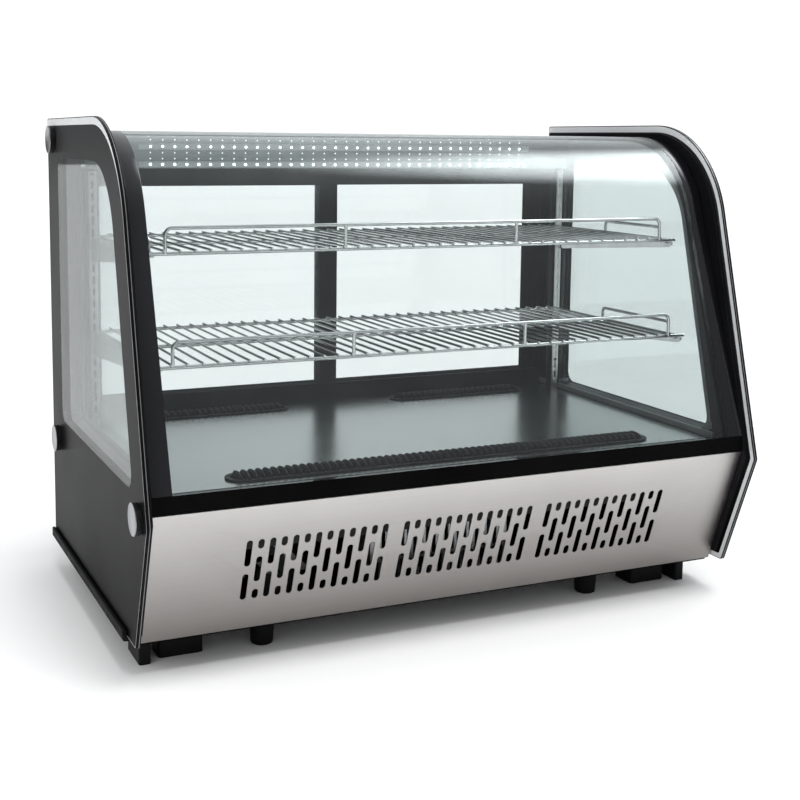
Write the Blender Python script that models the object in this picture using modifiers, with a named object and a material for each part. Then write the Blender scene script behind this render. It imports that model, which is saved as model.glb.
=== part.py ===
"""Countertop refrigerated bakery display case: one closed body for each piece, in metres, +Z up.

X runs along the front, +Y is the staff side with the sliding doors, and the floor is z = 0.
Side profiles are lists of (y, z) points, extruded along X.
"""

import math

import bmesh
import bpy
from mathutils import Matrix, Vector

# Overall sizes
WIDTH = 0.882
DEPTH = 0.568
HEIGHT = 0.686
GAP = 0.0003
REAR = DEPTH / 2
FRONT = -DEPTH / 2

# End plates: tempered glass with a rounded shoulder and a knee at the front
PLATE_T = 0.006
PLATE_BOTTOM = 0.050
SHOULDER_R = 0.170
UPPER_SLANT = math.radians(15.0)
LOWER_SLANT = math.radians(20.6)
KNEE_Z = 0.214
BAND = 0.012
CAP_R = 0.020
CAP_PROUD = 0.009
SHOULDER_STEPS = 12

# Side frames: the black frames behind the end plates
FLANGE_T = 0.0045
FRAME_T = 0.022
WINDOW_TOP = HEIGHT - 0.056
WINDOW_BOTTOM = 0.243
WINDOW_INSET = 0.057
WINDOW_REAR = 0.075
WINDOW_R = 0.018
PANE_T = 0.004

# Curved front glass, sill and front panel
GLASS_T = 0.006
GLASS_TOP = HEIGHT - 0.018
GLASS_R = 0.149
GLASS_SLANT = math.radians(18.9)
GLASS_FOOT_Z = 0.2455
GLASS_FOOT_SET = 0.021
GLASS_REAR = REAR - 0.150
SILL_H = 0.0225
SHEET = 0.0015
PANEL_BOTTOM = 0.047
PANEL_FLANGE = 0.012

# Ventilation slots in the front panel
SLOT_PITCH = 0.0152
SLOT_W = 0.0078
SLOT_COLUMNS = 13
SLOT_GROUP_STEP = 14
SLOT_RUNS_A = ((0.050, 0.089), (0.101, 0.140))
SLOT_RUNS_B = ((0.050, 0.064), (0.076, 0.114), (0.126, 0.140))

# Base, deck and insulated tub
PAN_Z = 0.042
PAN_T = 0.0045
DECK_TOP = 0.2365
DECK_T = 0.002
TUB_FLOOR = 0.150
TUB_WALL = 0.015
FOOT_R = 0.017
FOOT_X = 0.2525
FOOT_Y = FRONT + 0.143
LEG_X = WIDTH / 2 - 0.0205
LEG_Y = (FRONT + 0.128, FRONT + 0.189)

# Rear frame and sliding doors
REAR_T = 0.036
OPENING_W = WIDTH - 0.092
OPENING_BOTTOM = 0.262
OPENING_TOP = HEIGHT - 0.099
DOOR_T = 0.010
TRACK_T = DOOR_T + 0.002
TRACK_DEEP = 0.012
LIP_T = 0.0045
STILE = 0.030

# Shelves
SHELF_LOW_Z = DECK_TOP + 0.1435
SHELVES = ((SHELF_LOW_Z, FRONT + 0.128), (SHELF_LOW_Z + 0.139, FRONT + 0.158))
SHELF_REAR = REAR - 0.108
WIRE_R = 0.00175
ROD_R = 0.0025
WIRES = 38
SHELF_W = WIDTH - 0.102
GUARD_H = 0.032
SIDE_GUARD_H = 0.015
SIDE_GUARD_END = FRONT + 0.318
WIRE_INSET = 0.015
ROD_TIP = 0.012
BITE = 0.0009
PILASTER_Y = REAR - 0.100
PILASTER_TOP = OPENING_TOP + 0.0235
CHANNEL_FOOT = OPENING_TOP + 0.029

# Air grilles and fans
RIB_PITCH = 0.010
FAN_BLADES = 5
FAN_HUB = 0.30
BLADE_PITCH = 24.0
BLADE_T = 0.0022
SHAFT_R = 0.0025
BORE_R = 0.003
THROAT_R = 0.0455
COLD_THROAT_R = 0.0535
COLD_FAN_AT = (0.19, FRONT + 0.354)
COIL_HALF = 0.105
COIL_Y = (FRONT + 0.124, FRONT + 0.164)
COLD_COIL_Y = (FRONT + 0.304, FRONT + 0.414)
PAN_FRONT = FRONT + 0.092
SHROUD_T = 0.040
PUMP_AT = (-0.235, FRONT + 0.369)

WELD = 0.00001
SHARP = math.radians(32)
AXES = {"X": (1, 0, 0), "Y": (0, 1, 0), "Z": (0, 0, 1)}
SIDE_ON = {
    "X": Matrix(((0, 0, 1, 0), (1, 0, 0, 0), (0, 1, 0, 0), (0, 0, 0, 1))),
    "Y": Matrix(((1, 0, 0, 0), (0, 0, -1, 0), (0, 1, 0, 0), (0, 0, 0, 1))),
    "Z": Matrix(),
}
UPRIGHT = {
    "X": Matrix.Rotation(math.pi / 2, 4, "Y"),
    "Y": Matrix.Rotation(-math.pi / 2, 4, "X"),
    "Z": Matrix(),
}

HALF = WIDTH / 2
PLATE_IN = HALF - PLATE_T
FRAME_OUT = PLATE_IN - GAP
FRAME_IN = FRAME_OUT - FLANGE_T - FRAME_T
BODY_HALF = FRAME_OUT - FLANGE_T - GAP
FLOOR = PAN_Z + PAN_T + GAP
CEILING = TUB_FLOOR - 0.004

for old in list(bpy.data.objects):
    bpy.data.objects.remove(old, do_unlink=True)

CASE = bpy.data.collections.new("bakery_display_case")
TOOLS = bpy.data.collections.new("cutters")
bpy.context.scene.collection.children.link(CASE)
bpy.context.scene.collection.children.link(TOOLS)
TOOLS.hide_render = True


def material(name, colour, roughness, metallic=0.0, alpha=1.0):
    mat = bpy.data.materials.new(name)
    mat.use_nodes = True
    shader = mat.node_tree.nodes["Principled BSDF"]
    shader.inputs["Base Color"].default_value = (*colour, 1.0)
    shader.inputs["Roughness"].default_value = roughness
    shader.inputs["Metallic"].default_value = metallic
    shader.inputs["Alpha"].default_value = alpha
    return mat


GLASS = material("clear_glass", (0.80, 0.88, 0.86), 0.05, 0.0, 0.25)
PRINT = material("printed_glass", (0.06, 0.06, 0.065), 0.25)
BLACK = material("black_paint", (0.015, 0.015, 0.017), 0.45)
RUBBER = material("rubber", (0.02, 0.02, 0.02), 0.8)
STEEL = material("brushed_steel", (0.62, 0.61, 0.60), 0.32, 1.0)
CHROME = material("chrome", (0.75, 0.76, 0.77), 0.12, 1.0)
CAP = material("cap_metal", (0.55, 0.55, 0.55), 0.3, 1.0)
LAMP = material("led_lens", (0.9, 0.93, 0.95), 0.2)
FOAM = material("liner", (0.55, 0.57, 0.58), 0.5)
COIL = material("aluminium_fins", (0.6, 0.62, 0.63), 0.35, 1.0)
COPPER = material("copper", (0.72, 0.38, 0.22), 0.3, 1.0)
PLASTIC = material("black_plastic", (0.03, 0.03, 0.03), 0.5)
RED = material("switch_red", (0.45, 0.03, 0.03), 0.4)


def place(obj, mat, tool):
    """Puts an object in its collection. A tool is a cutter or a shape that is joined to another."""
    obj.data.materials.clear()
    obj.data.materials.append(mat)
    (TOOLS if tool else CASE).objects.link(obj)
    if tool:
        obj.hide_render = True
        obj.display_type = "WIRE"
    return obj


def add(name, bm, mat, tool=False, smooth=False):
    """An object from a bmesh, with its sharp edges marked where it's shaded smooth."""
    bmesh.ops.recalc_face_normals(bm, faces=bm.faces)
    mesh = bpy.data.meshes.new(name)
    bm.to_mesh(mesh)
    bm.free()
    if smooth:
        mesh.shade_smooth()
        mesh.set_sharp_from_angle(angle=SHARP)
    return place(bpy.data.objects.new(name, mesh), mat, tool)


def settled(source, name, turn, mat, tool, smooth=True):
    """A curve, or a profile with its modifiers, made a mesh with its caps welded and turned into place."""
    bpy.context.scene.collection.objects.link(source)
    graph = bpy.context.evaluated_depsgraph_get()
    mesh = bpy.data.meshes.new_from_object(source.evaluated_get(graph))
    bm = bmesh.new()
    bm.from_mesh(mesh)
    bmesh.ops.remove_doubles(bm, verts=bm.verts, dist=WELD)
    bmesh.ops.transform(bm, matrix=turn, verts=bm.verts)
    bpy.data.objects.remove(source)
    bpy.data.meshes.remove(mesh)
    return add(name, bm, mat, tool, smooth)


def poly_curve(name, outlines, closed):
    curve = bpy.data.curves.new(name, "CURVE")
    for points in outlines:
        spline = curve.splines.new("POLY")
        spline.points.add(len(points) - 1)
        for target, point in zip(spline.points, points):
            target.co = (*point, *(0,) * (3 - len(point)), 1)
        spline.use_cyclic_u = closed
    return curve


def plate(name, outlines, thick, turn, mat=BLACK, tool=False):
    """Flat outlines given a thickness, centred on their plane, and turned into place."""
    curve = poly_curve(name, outlines, True)
    curve.dimensions = "2D"
    curve.fill_mode = "BOTH"
    curve.extrude = thick / 2
    return settled(bpy.data.objects.new(name, curve), name, turn, mat, tool)


def prism(name, profile, start, end, mat=BLACK, tool=False, axis="X"):
    """A closed outline pushed along an axis: (y, z) points for X, (x, z) for Y and (x, y) for Z."""
    middle = Vector(AXES[axis]) * (start + end) / 2
    turn = Matrix.Translation(middle) @ SIDE_ON[axis]
    return plate(name, [profile], abs(end - start), turn, mat, tool)


def blocks(name, cubes, mat=BLACK, tool=False):
    """Boxes from (centre, size) pairs, in one object."""
    bm = bmesh.new()
    for centre, size in cubes:
        bmesh.ops.create_cube(bm, size=1.0, matrix=Matrix.LocRotScale(Vector(centre), None, Vector(size)))
    return add(name, bm, mat, tool)


def box(name, x, y, z, mat=BLACK, tool=False):
    """A box from its low and high limits along each axis."""
    centre = [(low + high) / 2 for low, high in (x, y, z)]
    size = [abs(high - low) for low, high in (x, y, z)]
    return blocks(name, [(centre, size)], mat, tool)


def rounded(x, y, radius, steps=4):
    """A rounded rectangle as a list of points."""
    radius = min(radius, (x[1] - x[0]) / 2 - WELD * 2, (y[1] - y[0]) / 2 - WELD * 2)
    points = []
    corners = ((x[1], y[1], 0), (x[0], y[1], 1), (x[0], y[0], 2), (x[1], y[0], 3))
    for cx, cy, quarter in corners:
        ox = cx - radius if quarter in (0, 3) else cx + radius
        oy = cy - radius if quarter in (0, 1) else cy + radius
        for i in range(steps + 1):
            turn = math.pi / 2 * (quarter + i / steps)
            points.append((ox + radius * math.cos(turn), oy + radius * math.sin(turn)))
    return points


def turned(name, profile, mat=BLACK, steps=24, tool=False, axis="Z", at=(0, 0, 0)):
    """A profile of (radius, height) points, from the axis back to the axis, spun by a Screw modifier."""
    mesh = bpy.data.meshes.new(name)
    edges = [(i, i + 1) for i in range(len(profile) - 1)]
    mesh.from_pydata([(radius, 0, height) for radius, height in profile], edges, [])
    source = bpy.data.objects.new(name, mesh)
    screw = source.modifiers.new("Spin", "SCREW")
    screw.steps = steps
    screw.render_steps = steps
    screw.use_merge_vertices = True
    screw.merge_threshold = WELD
    return settled(source, name, Matrix.Translation(at) @ UPRIGHT[axis], mat, tool)


def bars(name, paths, radius, mat=CHROME, tool=False, sides=6):
    """Round bars along paths of points."""
    curve = poly_curve(name, paths, False)
    curve.dimensions = "3D"
    curve.bevel_depth = radius
    curve.bevel_resolution = (sides - 4) // 2
    curve.use_fill_caps = True
    return settled(bpy.data.objects.new(name, curve), name, Matrix(), mat, tool)


def combine(target, others, operation="UNION"):
    for other in others:
        modifier = target.modifiers.new(other.name, "BOOLEAN")
        modifier.operation = operation
        modifier.solver = "EXACT"
        modifier.object = other
    return target


def cut(target, others):
    return combine(target, others, "DIFFERENCE")


def folded(points, thick):
    """A bent strip's outline from its outer line, thickened to the left of the direction of travel."""
    inner = []
    for i, point in enumerate(points):
        before = Vector(points[i]) - Vector(points[i - 1]) if i else Vector(points[1]) - Vector(points[0])
        last = i + 1 == len(points)
        after = before if last else Vector(points[i + 1]) - Vector(points[i])
        n0 = Vector((-before.y, before.x)).normalized()
        n1 = Vector((-after.y, after.x)).normalized()
        middle = (n0 + n1).normalized()
        inner.append(tuple(Vector(point) + middle * thick / middle.dot(n0)))
    return list(points) + inner[::-1]


def front_line(z, inset=0.0):
    """y of the end plate's front edge at a height, moved in by an inset."""
    if z >= KNEE_Z:
        return FRONT + (z - KNEE_Z) * math.tan(UPPER_SLANT) + inset / math.cos(UPPER_SLANT)
    return FRONT + (KNEE_Z - z) * math.tan(LOWER_SLANT) + inset / math.cos(LOWER_SLANT)


def knee(inset):
    """The knee point of the outline moved in by an inset."""
    half = (UPPER_SLANT + LOWER_SLANT) / 2
    lean = (UPPER_SLANT - LOWER_SLANT) / 2
    reach = inset / math.cos(half)
    return FRONT + reach * math.cos(lean), KNEE_Z - reach * math.sin(lean)


def plate_outline(inset=0.0, bottom=None, rear=None, steps=SHOULDER_STEPS):
    bottom = PLATE_BOTTOM + inset if bottom is None else bottom
    rear = REAR - inset if rear is None else rear
    centre_z = HEIGHT - SHOULDER_R
    rise = (centre_z - KNEE_Z) * math.sin(UPPER_SLANT)
    centre_y = FRONT + (SHOULDER_R + rise) / math.cos(UPPER_SLANT)
    radius = SHOULDER_R - inset
    points = [(rear, bottom), (rear, HEIGHT - inset)]
    for i in range(steps + 1):
        turn = (math.pi / 2 - UPPER_SLANT) * i / steps
        points.append((centre_y - radius * math.sin(turn), centre_z + radius * math.cos(turn)))
    points.append(knee(inset))
    points.append((front_line(bottom, inset), bottom))
    return points


def glass_line(inset=0.0, steps=SHOULDER_STEPS, foot=GLASS_FOOT_Z, rear=GLASS_REAR):
    """The curved glass's outer surface from its rear edge over the shoulder to its foot, moved in."""
    centre_z = GLASS_TOP - GLASS_R
    foot_y = FRONT + GLASS_FOOT_SET
    rise = (centre_z - GLASS_FOOT_Z) * math.sin(GLASS_SLANT)
    centre_y = foot_y + (GLASS_R + rise) / math.cos(GLASS_SLANT)
    radius = GLASS_R - inset
    points = [(rear, GLASS_TOP - inset)]
    for i in range(steps + 1):
        turn = (math.pi / 2 - GLASS_SLANT) * i / steps
        points.append((centre_y - radius * math.sin(turn), centre_z + radius * math.cos(turn)))
    down = foot_y + inset / math.cos(GLASS_SLANT) + (foot - GLASS_FOOT_Z) * math.tan(GLASS_SLANT)
    points.append((down, foot))
    return points


def window_outline(grow=0.0, steps=4):
    """The clear window in an end: square at the rear, curved with the shoulder at the front."""
    inset = WINDOW_INSET - grow
    top = WINDOW_TOP + grow
    bottom = WINDOW_BOTTOM - grow
    rear = REAR - WINDOW_REAR + grow
    corner = WINDOW_R
    curve = [p for p in plate_outline(inset) if p[1] < top and p[0] < rear and p[1] > bottom + corner * 2]
    front_low = front_line(bottom, inset)
    points = []
    for cy, cz, start in ((rear - corner, bottom + corner, -90), (rear - corner, top - corner, 0)):
        for i in range(steps + 1):
            turn = math.radians(start + 90 * i / steps)
            points.append((cy + corner * math.cos(turn), cz + corner * math.sin(turn)))
    reach = front_line(top, inset) + 0.05
    flat = [p for p in curve if p[0] > reach]
    points.extend([p for p in curve if p not in flat or p[1] < top - 0.001])
    points.append((front_line(bottom + corner, inset), bottom + corner))
    points.append((front_low + corner * 0.12, bottom + corner * 0.35))
    points.append((front_low + corner * 0.40, bottom + corner * 0.08))
    points.append((front_low + corner, bottom))
    return points


def end_plates():
    for side, sign in (("left", -1), ("right", 1)):
        prism(f"end_glass_{side}", plate_outline(), sign * HALF, sign * PLATE_IN, PRINT)
        for spot, (y, z) in cap_places().items():
            proud = HALF + GAP
            shape = [(0, 0), (CAP_R - 0.002, 0), (CAP_R - 0.002, 0.0045), (CAP_R, 0.0045)]
            shape += [(CAP_R, CAP_PROUD - 0.001), (CAP_R - 0.001, CAP_PROUD), (0, CAP_PROUD)]
            shape = [(r, sign * (proud + h - GAP)) for r, h in shape]
            turned(f"cap_{spot}_{side}", shape, CAP, 20, False, "X", (sign * GAP, y, z))


def cap_places():
    return {
        "top": (REAR - 0.049, HEIGHT - 0.031),
        "rear": (REAR - 0.052, KNEE_Z - 0.003),
        "front": (FRONT + 0.034, KNEE_Z + 0.005),
    }


def side_frames():
    for side, sign in (("left", -1), ("right", 1)):
        out = sign * FRAME_OUT
        flange = prism(f"side_frame_{side}", plate_outline(BAND), out, sign * (FRAME_OUT - FLANGE_T))
        back = REAR - REAR_T - 0.008
        line = glass_line(GLASS_T + GAP, foot=GLASS_FOOT_Z, rear=back)
        line += [(FRONT + 0.052, GLASS_FOOT_Z), (FRONT + 0.052, KNEE_Z - 0.014)]
        line += [(PAN_FRONT + 0.006, FLOOR), (back, FLOOR)]
        seat_x = FRAME_IN + PANE_T + 0.002
        past = sign * (FRAME_IN - 0.01)
        body = prism(f"frame_body_{side}", line, sign * (BODY_HALF + 0.002), sign * FRAME_IN, tool=True)
        hole = prism(f"frame_hole_{side}", window_outline(), sign * (HALF + 0.01), past, tool=True)
        seat = prism(f"frame_seat_{side}", window_outline(0.006), sign * seat_x, past, tool=True)
        combine(flange, [body])
        cut(flange, [hole, seat])
        pane_out = seat_x - GAP
        line = window_outline(0.006 - GAP)
        prism(f"side_pane_{side}", line, sign * pane_out, sign * (pane_out - PANE_T), GLASS)


def front_glass():
    outer = glass_line()
    inner = glass_line(GLASS_T)
    prism("front_glass", outer + inner[::-1], -BODY_HALF, BODY_HALF, GLASS)


def panel_ends():
    """The top and bottom of the front panel's face, as (y, z)."""
    top = Vector((FRONT + GLASS_FOOT_SET, GLASS_FOOT_Z - SILL_H - 0.001))
    bottom = Vector((front_line(PANEL_BOTTOM) + GLASS_FOOT_SET, PANEL_BOTTOM))
    return top, bottom


def front_sill():
    front = FRONT + GLASS_FOOT_SET
    top = GLASS_FOOT_Z - GAP
    low = top - SILL_H
    profile = [(front, low), (front + 0.030, low), (front + 0.030, DECK_TOP + 0.002)]
    profile += [(front + 0.012, top), (front, top)]
    prism("front_sill", profile, -BODY_HALF, BODY_HALF)


def front_panel():
    top, low = panel_ends()
    tucked = (low[0] + PANEL_FLANGE, low[1])
    line = [(top[0] + PANEL_FLANGE, top[1]), tuple(top), tuple(low), tucked]
    panel = prism("front_panel", folded(line, SHEET), -BODY_HALF, BODY_HALF, STEEL)
    outlines = []
    for group in (-1, 0, 1):
        first = group * SLOT_GROUP_STEP * SLOT_PITCH - (SLOT_COLUMNS - 1) / 2 * SLOT_PITCH
        for column in range(SLOT_COLUMNS):
            x = first + column * SLOT_PITCH
            for start, end in SLOT_RUNS_B if column % 2 else SLOT_RUNS_A:
                outlines.append(slot_outline(x, start, end))
    down = (low - top).normalized()
    face = Matrix(((1, 0, 0, 0), (0, down.x, -down.y, top[0]), (0, down.y, down.x, top[1]), (0, 0, 0, 1)))
    cut(panel, [plate("panel_slots", outlines, SHEET * 6, face, BLACK, True)])


def slot_outline(x, start, end):
    """A slot with pointed-round ends, as (x, distance down the panel) points."""
    half = SLOT_W / 2
    side = half * 0.9
    return [(x - half, start + side), (x, start), (x + half, start + side),
            (x + half, end - side), (x, end), (x - half, end - side)]


def top_parts():
    back = REAR - 0.002
    line = [(back, GLASS_TOP - 0.050), (back, GLASS_TOP), (GLASS_REAR + GAP, GLASS_TOP)]
    line += [(GLASS_REAR + GAP, GLASS_TOP - 0.004)]
    prism("top_cover", folded(line, SHEET), -BODY_HALF, BODY_HALF, STEEL)
    inside = FRAME_IN - GAP
    rail = REAR - REAR_T - 0.004
    high = GLASS_TOP - SHEET - GAP
    face = PILASTER_Y - 0.004
    line = [(GLASS_REAR + 0.012, high), (face - 0.002, high), (face, high - 0.004)]
    line += [(face + 0.003, CHANNEL_FOOT), (rail - GAP, CHANNEL_FOOT)]
    prism("led_channel", folded(line[::-1], SHEET)[::-1], -inside, inside, STEEL)
    a = Vector(line[2])
    b = Vector(line[3])
    along = (b - a).normalized()
    out = Vector((along.y, -along.x))
    base = SHEET + GAP
    lens = []
    for run, lift in ((0.007, base), (0.045, base), (0.044, base + 0.003), (0.008, base + 0.003)):
        lens.append(tuple(a + along * run + out * lift))
    prism("led_diffuser", lens, -inside + 0.07, inside - 0.07, LAMP)


def capsule(x0, x1, y, half, steps=6):
    return rounded((x0, x1), (y - half, y + half), half, steps)


def grille_places():
    return {
        "front": (-0.316, 0.316, FRONT + 0.099, 0.022),
        "rear_left": (-0.337, -0.089, REAR - 0.088, 0.020),
        "rear_right": (0.089, 0.337, REAR - 0.088, 0.020),
    }


def deck():
    inside = FRAME_IN - GAP
    front = FRONT + GLASS_FOOT_SET + 0.030 + GAP
    rear = REAR - REAR_T - 0.004 - GAP
    pan = box("deck_pan", (-inside, inside), (front, rear), (DECK_TOP - DECK_T, DECK_TOP), STEEL)
    for spot, (x0, x1, y, half) in grille_places().items():
        ring = capsule(x0, x1, y, half)
        hole = capsule(x0 + 0.006, x1 - 0.006, y, half - 0.006)
        cut(pan, [prism(f"deck_hole_{spot}", hole, DECK_TOP - 0.01, DECK_TOP + 0.01, tool=True, axis="Z")])
        base = DECK_TOP + GAP
        grille = prism(f"air_grille_{spot}", ring, base, base + 0.008, PLASTIC, axis="Z")
        count = int((x1 - x0 - 2 * half) / RIB_PITCH)
        first = (x0 + x1) / 2 - (count - 1) / 2 * RIB_PITCH
        size = (RIB_PITCH * 0.6, 2 * half - 0.012, 0.02)
        cubes = [((first + i * RIB_PITCH, y, base + 0.004), size) for i in range(count)]
        cut(grille, [blocks(f"grille_slots_{spot}", cubes, tool=True)])


def tub():
    half = FRAME_IN - 0.006
    front = FRONT + 0.080
    rear = REAR - REAR_T - 0.010
    top = DECK_TOP - DECK_T - GAP
    shell = box("insulated_tub", (-half, half), (front, rear), (TUB_FLOOR, top), FOAM)
    hollow = box("tub_hollow", (-half + TUB_WALL, half - TUB_WALL), (front + TUB_WALL, rear - TUB_WALL),
                 (TUB_FLOOR + TUB_WALL, top + 0.01), tool=True)
    cut(shell, [hollow])


def base():
    half = BODY_HALF
    pan = box("base_pan", (-half, half), (PAN_FRONT, REAR - 0.004), (PAN_Z, PAN_Z + PAN_T))
    vents = []
    for i in range(4):
        x = (-0.30 + i * 0.05, -0.28 + i * 0.05)
        y = (FRONT + 0.264, FRONT + 0.424)
        vents.append(box(f"pan_vent_{i}", x, y, (PAN_Z - 0.01, PAN_Z + 0.02), tool=True))
    cut(pan, vents)
    for end, sign_y in (("front", -1), ("rear", 1)):
        for side, sign in (("left", -1), ("right", 1)):
            top = PAN_Z - GAP
            shape = [(0, 0), (FOOT_R - 0.005, 0), (FOOT_R - 0.002, 0.003)]
            shape += [(FOOT_R, top - 0.006), (FOOT_R, top), (0, top)]
            y = FOOT_Y if sign_y < 0 else REAR - 0.06
            turned(f"rubber_foot_{end}_{side}", shape, RUBBER, 16, False, "Z", (sign * FOOT_X, y, 0))
    for side, sign in (("left", -1), ("right", 1)):
        xs = sorted((sign * LEG_X, sign * (LEG_X - 0.0875)))
        foot = box(f"corner_foot_{side}", xs, LEG_Y, (PAN_Z - GAP - 0.004, PAN_Z - GAP))
        leg = rounded(sorted((sign * LEG_X, sign * (LEG_X - 0.0155))), LEG_Y, 0.003, 2)
        block_x = sorted((sign * (LEG_X - 0.0285), sign * (LEG_X - 0.0875)))
        block = rounded(block_x, (LEG_Y[0] + 0.013, LEG_Y[1] - 0.005), 0.004, 2)
        combine(foot, [
            prism(f"leg_{side}", leg, 0, PAN_Z - 0.002, tool=True, axis="Z"),
            prism(f"block_{side}", block, 0, PAN_Z - 0.002, tool=True, axis="Z"),
        ])
        out = HALF + GAP
        under = PLATE_BOTTOM - GAP
        line = [(PLATE_IN - 0.001, under), (out, under), (out, under + 0.008), (out + 0.001, under + 0.009)]
        line += [(out + 0.004, under + 0.009), (out + 0.005, under + 0.008), (out + 0.005, under - 0.004)]
        line += [(out + 0.003, under - 0.006), (PLATE_IN - 0.001, under - 0.006)]
        strip = [(sign * x, z) for x, z in line]
        prism(f"skid_strip_{side}", strip, front_line(PLATE_BOTTOM) + 0.044, REAR, RUBBER, axis="Y")


def rear_panel():
    low = PAN_Z + PAN_T + GAP
    high = OPENING_BOTTOM - 0.051
    y0 = REAR - 0.024
    panel = box("rear_panel", (-BODY_HALF, BODY_HALF), (y0, y0 + 0.003), (low, high), STEEL)
    cutters = []
    for row in range(7):
        z = 0.085 + row * 0.014
        shape = rounded((-0.30, -0.06), (z, z + 0.006), 0.003, 2)
        cutters.append(prism(f"louvre_{row}", shape, y0 - 0.01, y0 + 0.01, tool=True, axis="Y"))
    for name, (x, z, w, h) in control_places().items():
        shape = rounded((x - w / 2, x + w / 2), (z - h / 2, z + h / 2), 0.0006, 1)
        cutters.append(prism(f"hole_{name}", shape, y0 - 0.01, y0 + 0.01, tool=True, axis="Y"))
    cut(panel, cutters)


def control_places():
    return {
        "inlet": (0.345, 0.085, 0.032, 0.026),
        "power": (0.345, 0.145, 0.0216, 0.0156),
        "lamp": (0.305, 0.145, 0.0216, 0.0156),
        "knob": (0.250, 0.145, 0.008, 0.008),
    }


def controls():
    y0 = REAR - 0.024
    face = y0 + 0.003
    x, z, w, h = control_places()["inlet"]
    shape = rounded((x - w / 2 + GAP, x + w / 2 - GAP), (z - h / 2 + GAP, z + h / 2 - GAP), 0.002, 2)
    body = prism("power_inlet", shape, y0 - 0.018, face + 0.001, PLASTIC, axis="Y")
    rim = prism("inlet_rim", rounded((x - 0.022, x + 0.022), (z - 0.018, z + 0.018), 0.003, 2),
                face + GAP, face + 0.003, tool=True, axis="Y")
    socket = prism("inlet_socket", rounded((x - 0.0115, x + 0.0115), (z - 0.008, z + 0.008), 0.003, 2),
                   face - 0.013, face + 0.01, tool=True, axis="Y")
    combine(body, [rim])
    cut(body, [socket])
    pins = []
    for i, lift in ((-1, 0.0), (0, 0.002), (1, 0.0)):
        pin_x = (x - 0.001 + i * 0.006, x + 0.001 + i * 0.006)
        pin_z = (z - 0.003 + lift, z + 0.003 + lift)
        pins.append(box(f"pin_{i}", pin_x, (face - 0.014, face - 0.003), pin_z, CHROME, True))
    combine(body, pins)
    for name, mat in (("power", RED), ("lamp", PLASTIC)):
        x, z, w, h = control_places()[name]
        tilt = 0.0012
        half = h / 2 - 0.0006
        profile = [(face - 0.006, -half), (face + 0.0005, -half), (face + 0.001 + tilt, -half * 0.9)]
        profile += [(face + 0.0008, 0), (face + 0.0026 + tilt, half * 0.9), (face + 0.0005, half)]
        profile += [(face - 0.006, half)]
        line = [(y, z + dz) for y, dz in profile]
        rocker = prism(f"{name}_switch", line, x - w / 2 + 0.0006, x + w / 2 - 0.0006, mat)
        place_origin(rocker, (x, face - 0.003, z))
    x, z, w, h = control_places()["knob"]
    shape = [(0, -0.010), (0.003, -0.010), (0.003, GAP * 2), (0.016, GAP * 2)]
    shape += [(0.015, 0.014), (0.013, 0.016), (0, 0.016)]
    knob = turned("thermostat_knob", shape, PLASTIC, 24, False, "Y", (x, face, z))
    proud = (face + 0.0155, face + 0.0175)
    mark = box("knob_mark", (x - 0.0008, x + 0.0008), proud, (z + 0.004, z + 0.013), CHROME, True)
    combine(knob, [mark])
    place_origin(knob, (x, face, z))


def place_origin(obj, point):
    """Moves the origin, with the mesh left where it is."""
    shift = Matrix.Translation(Vector(point))
    obj.data.transform(shift.inverted())
    obj.matrix_world = shift


def rear_frame():
    half = BODY_HALF
    y0 = REAR - 0.004 - REAR_T
    y1 = REAR - 0.004
    z0 = OPENING_BOTTOM - 0.0505
    frame = box("rear_frame", (-half, half), (y0, y1), (z0, GLASS_TOP - 0.053), BLACK)
    opening = box("rear_opening", (-OPENING_W / 2, OPENING_W / 2), (y0 - 0.01, y1 + 0.01),
                  (OPENING_BOTTOM, OPENING_TOP), tool=True)
    tracks = []
    x = (-OPENING_W / 2 - 0.014, OPENING_W / 2 + 0.014)
    z = (OPENING_BOTTOM - TRACK_DEEP, OPENING_TOP + TRACK_DEEP)
    for name, start in (("front", y0 + LIP_T), ("rear", y1 - LIP_T - TRACK_T)):
        tracks.append(box(f"track_{name}", x, (start, start + TRACK_T), z, tool=True))
    cut(frame, [opening, *tracks])


def doors():
    y0 = REAR - 0.004 - REAR_T
    y1 = REAR - 0.004
    slack = (TRACK_T - DOOR_T) / 2
    starts = (y0 + LIP_T + slack, y1 - LIP_T - TRACK_T + slack)
    for side, sign, start in zip(("left", "right"), (-1, 1), starts):
        outer = sign * (OPENING_W / 2 + 0.0130)
        inner = -sign * STILE / 2
        xs = sorted((outer, inner))
        zs = (OPENING_BOTTOM - TRACK_DEEP + 0.0005, OPENING_TOP + TRACK_DEEP - 0.001)
        frame = box(f"door_frame_{side}", xs, (start, start + DOOR_T), zs, BLACK)
        sight = sorted((outer - sign * STILE, inner + sign * STILE))
        light = (OPENING_BOTTOM + 0.001, OPENING_TOP - 0.001)
        mid = start + DOOR_T / 2
        hole = box(f"door_hole_{side}", sight, (start - 0.01, start + DOOR_T + 0.01), light, tool=True)
        seat = box(f"door_seat_{side}", (sight[0] - 0.006, sight[1] + 0.006), (mid - 0.0023, mid + 0.0023),
                   (light[0] - 0.006, light[1] + 0.006), tool=True)
        halfway = (light[0] + light[1]) / 2
        pull_x = sorted((outer - sign * 0.017, outer - sign * 0.026))
        pull = rounded(pull_x, (halfway - 0.055, halfway + 0.055), 0.004, 2)
        face = start + DOOR_T
        groove = prism(f"door_pull_{side}", pull, face - 0.0025, face + 0.01, tool=True, axis="Y")
        cut(frame, [hole, seat, groove])
        pane_z = (light[0] - 0.0055, light[1] + 0.0055)
        pane_x = (sight[0] - 0.0055, sight[1] + 0.0055)
        box(f"door_glass_{side}", pane_x, (mid - 0.002, mid + 0.002), pane_z, GLASS)
        place_origin(frame, (sum(xs) / 2, mid, zs[0]))


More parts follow.
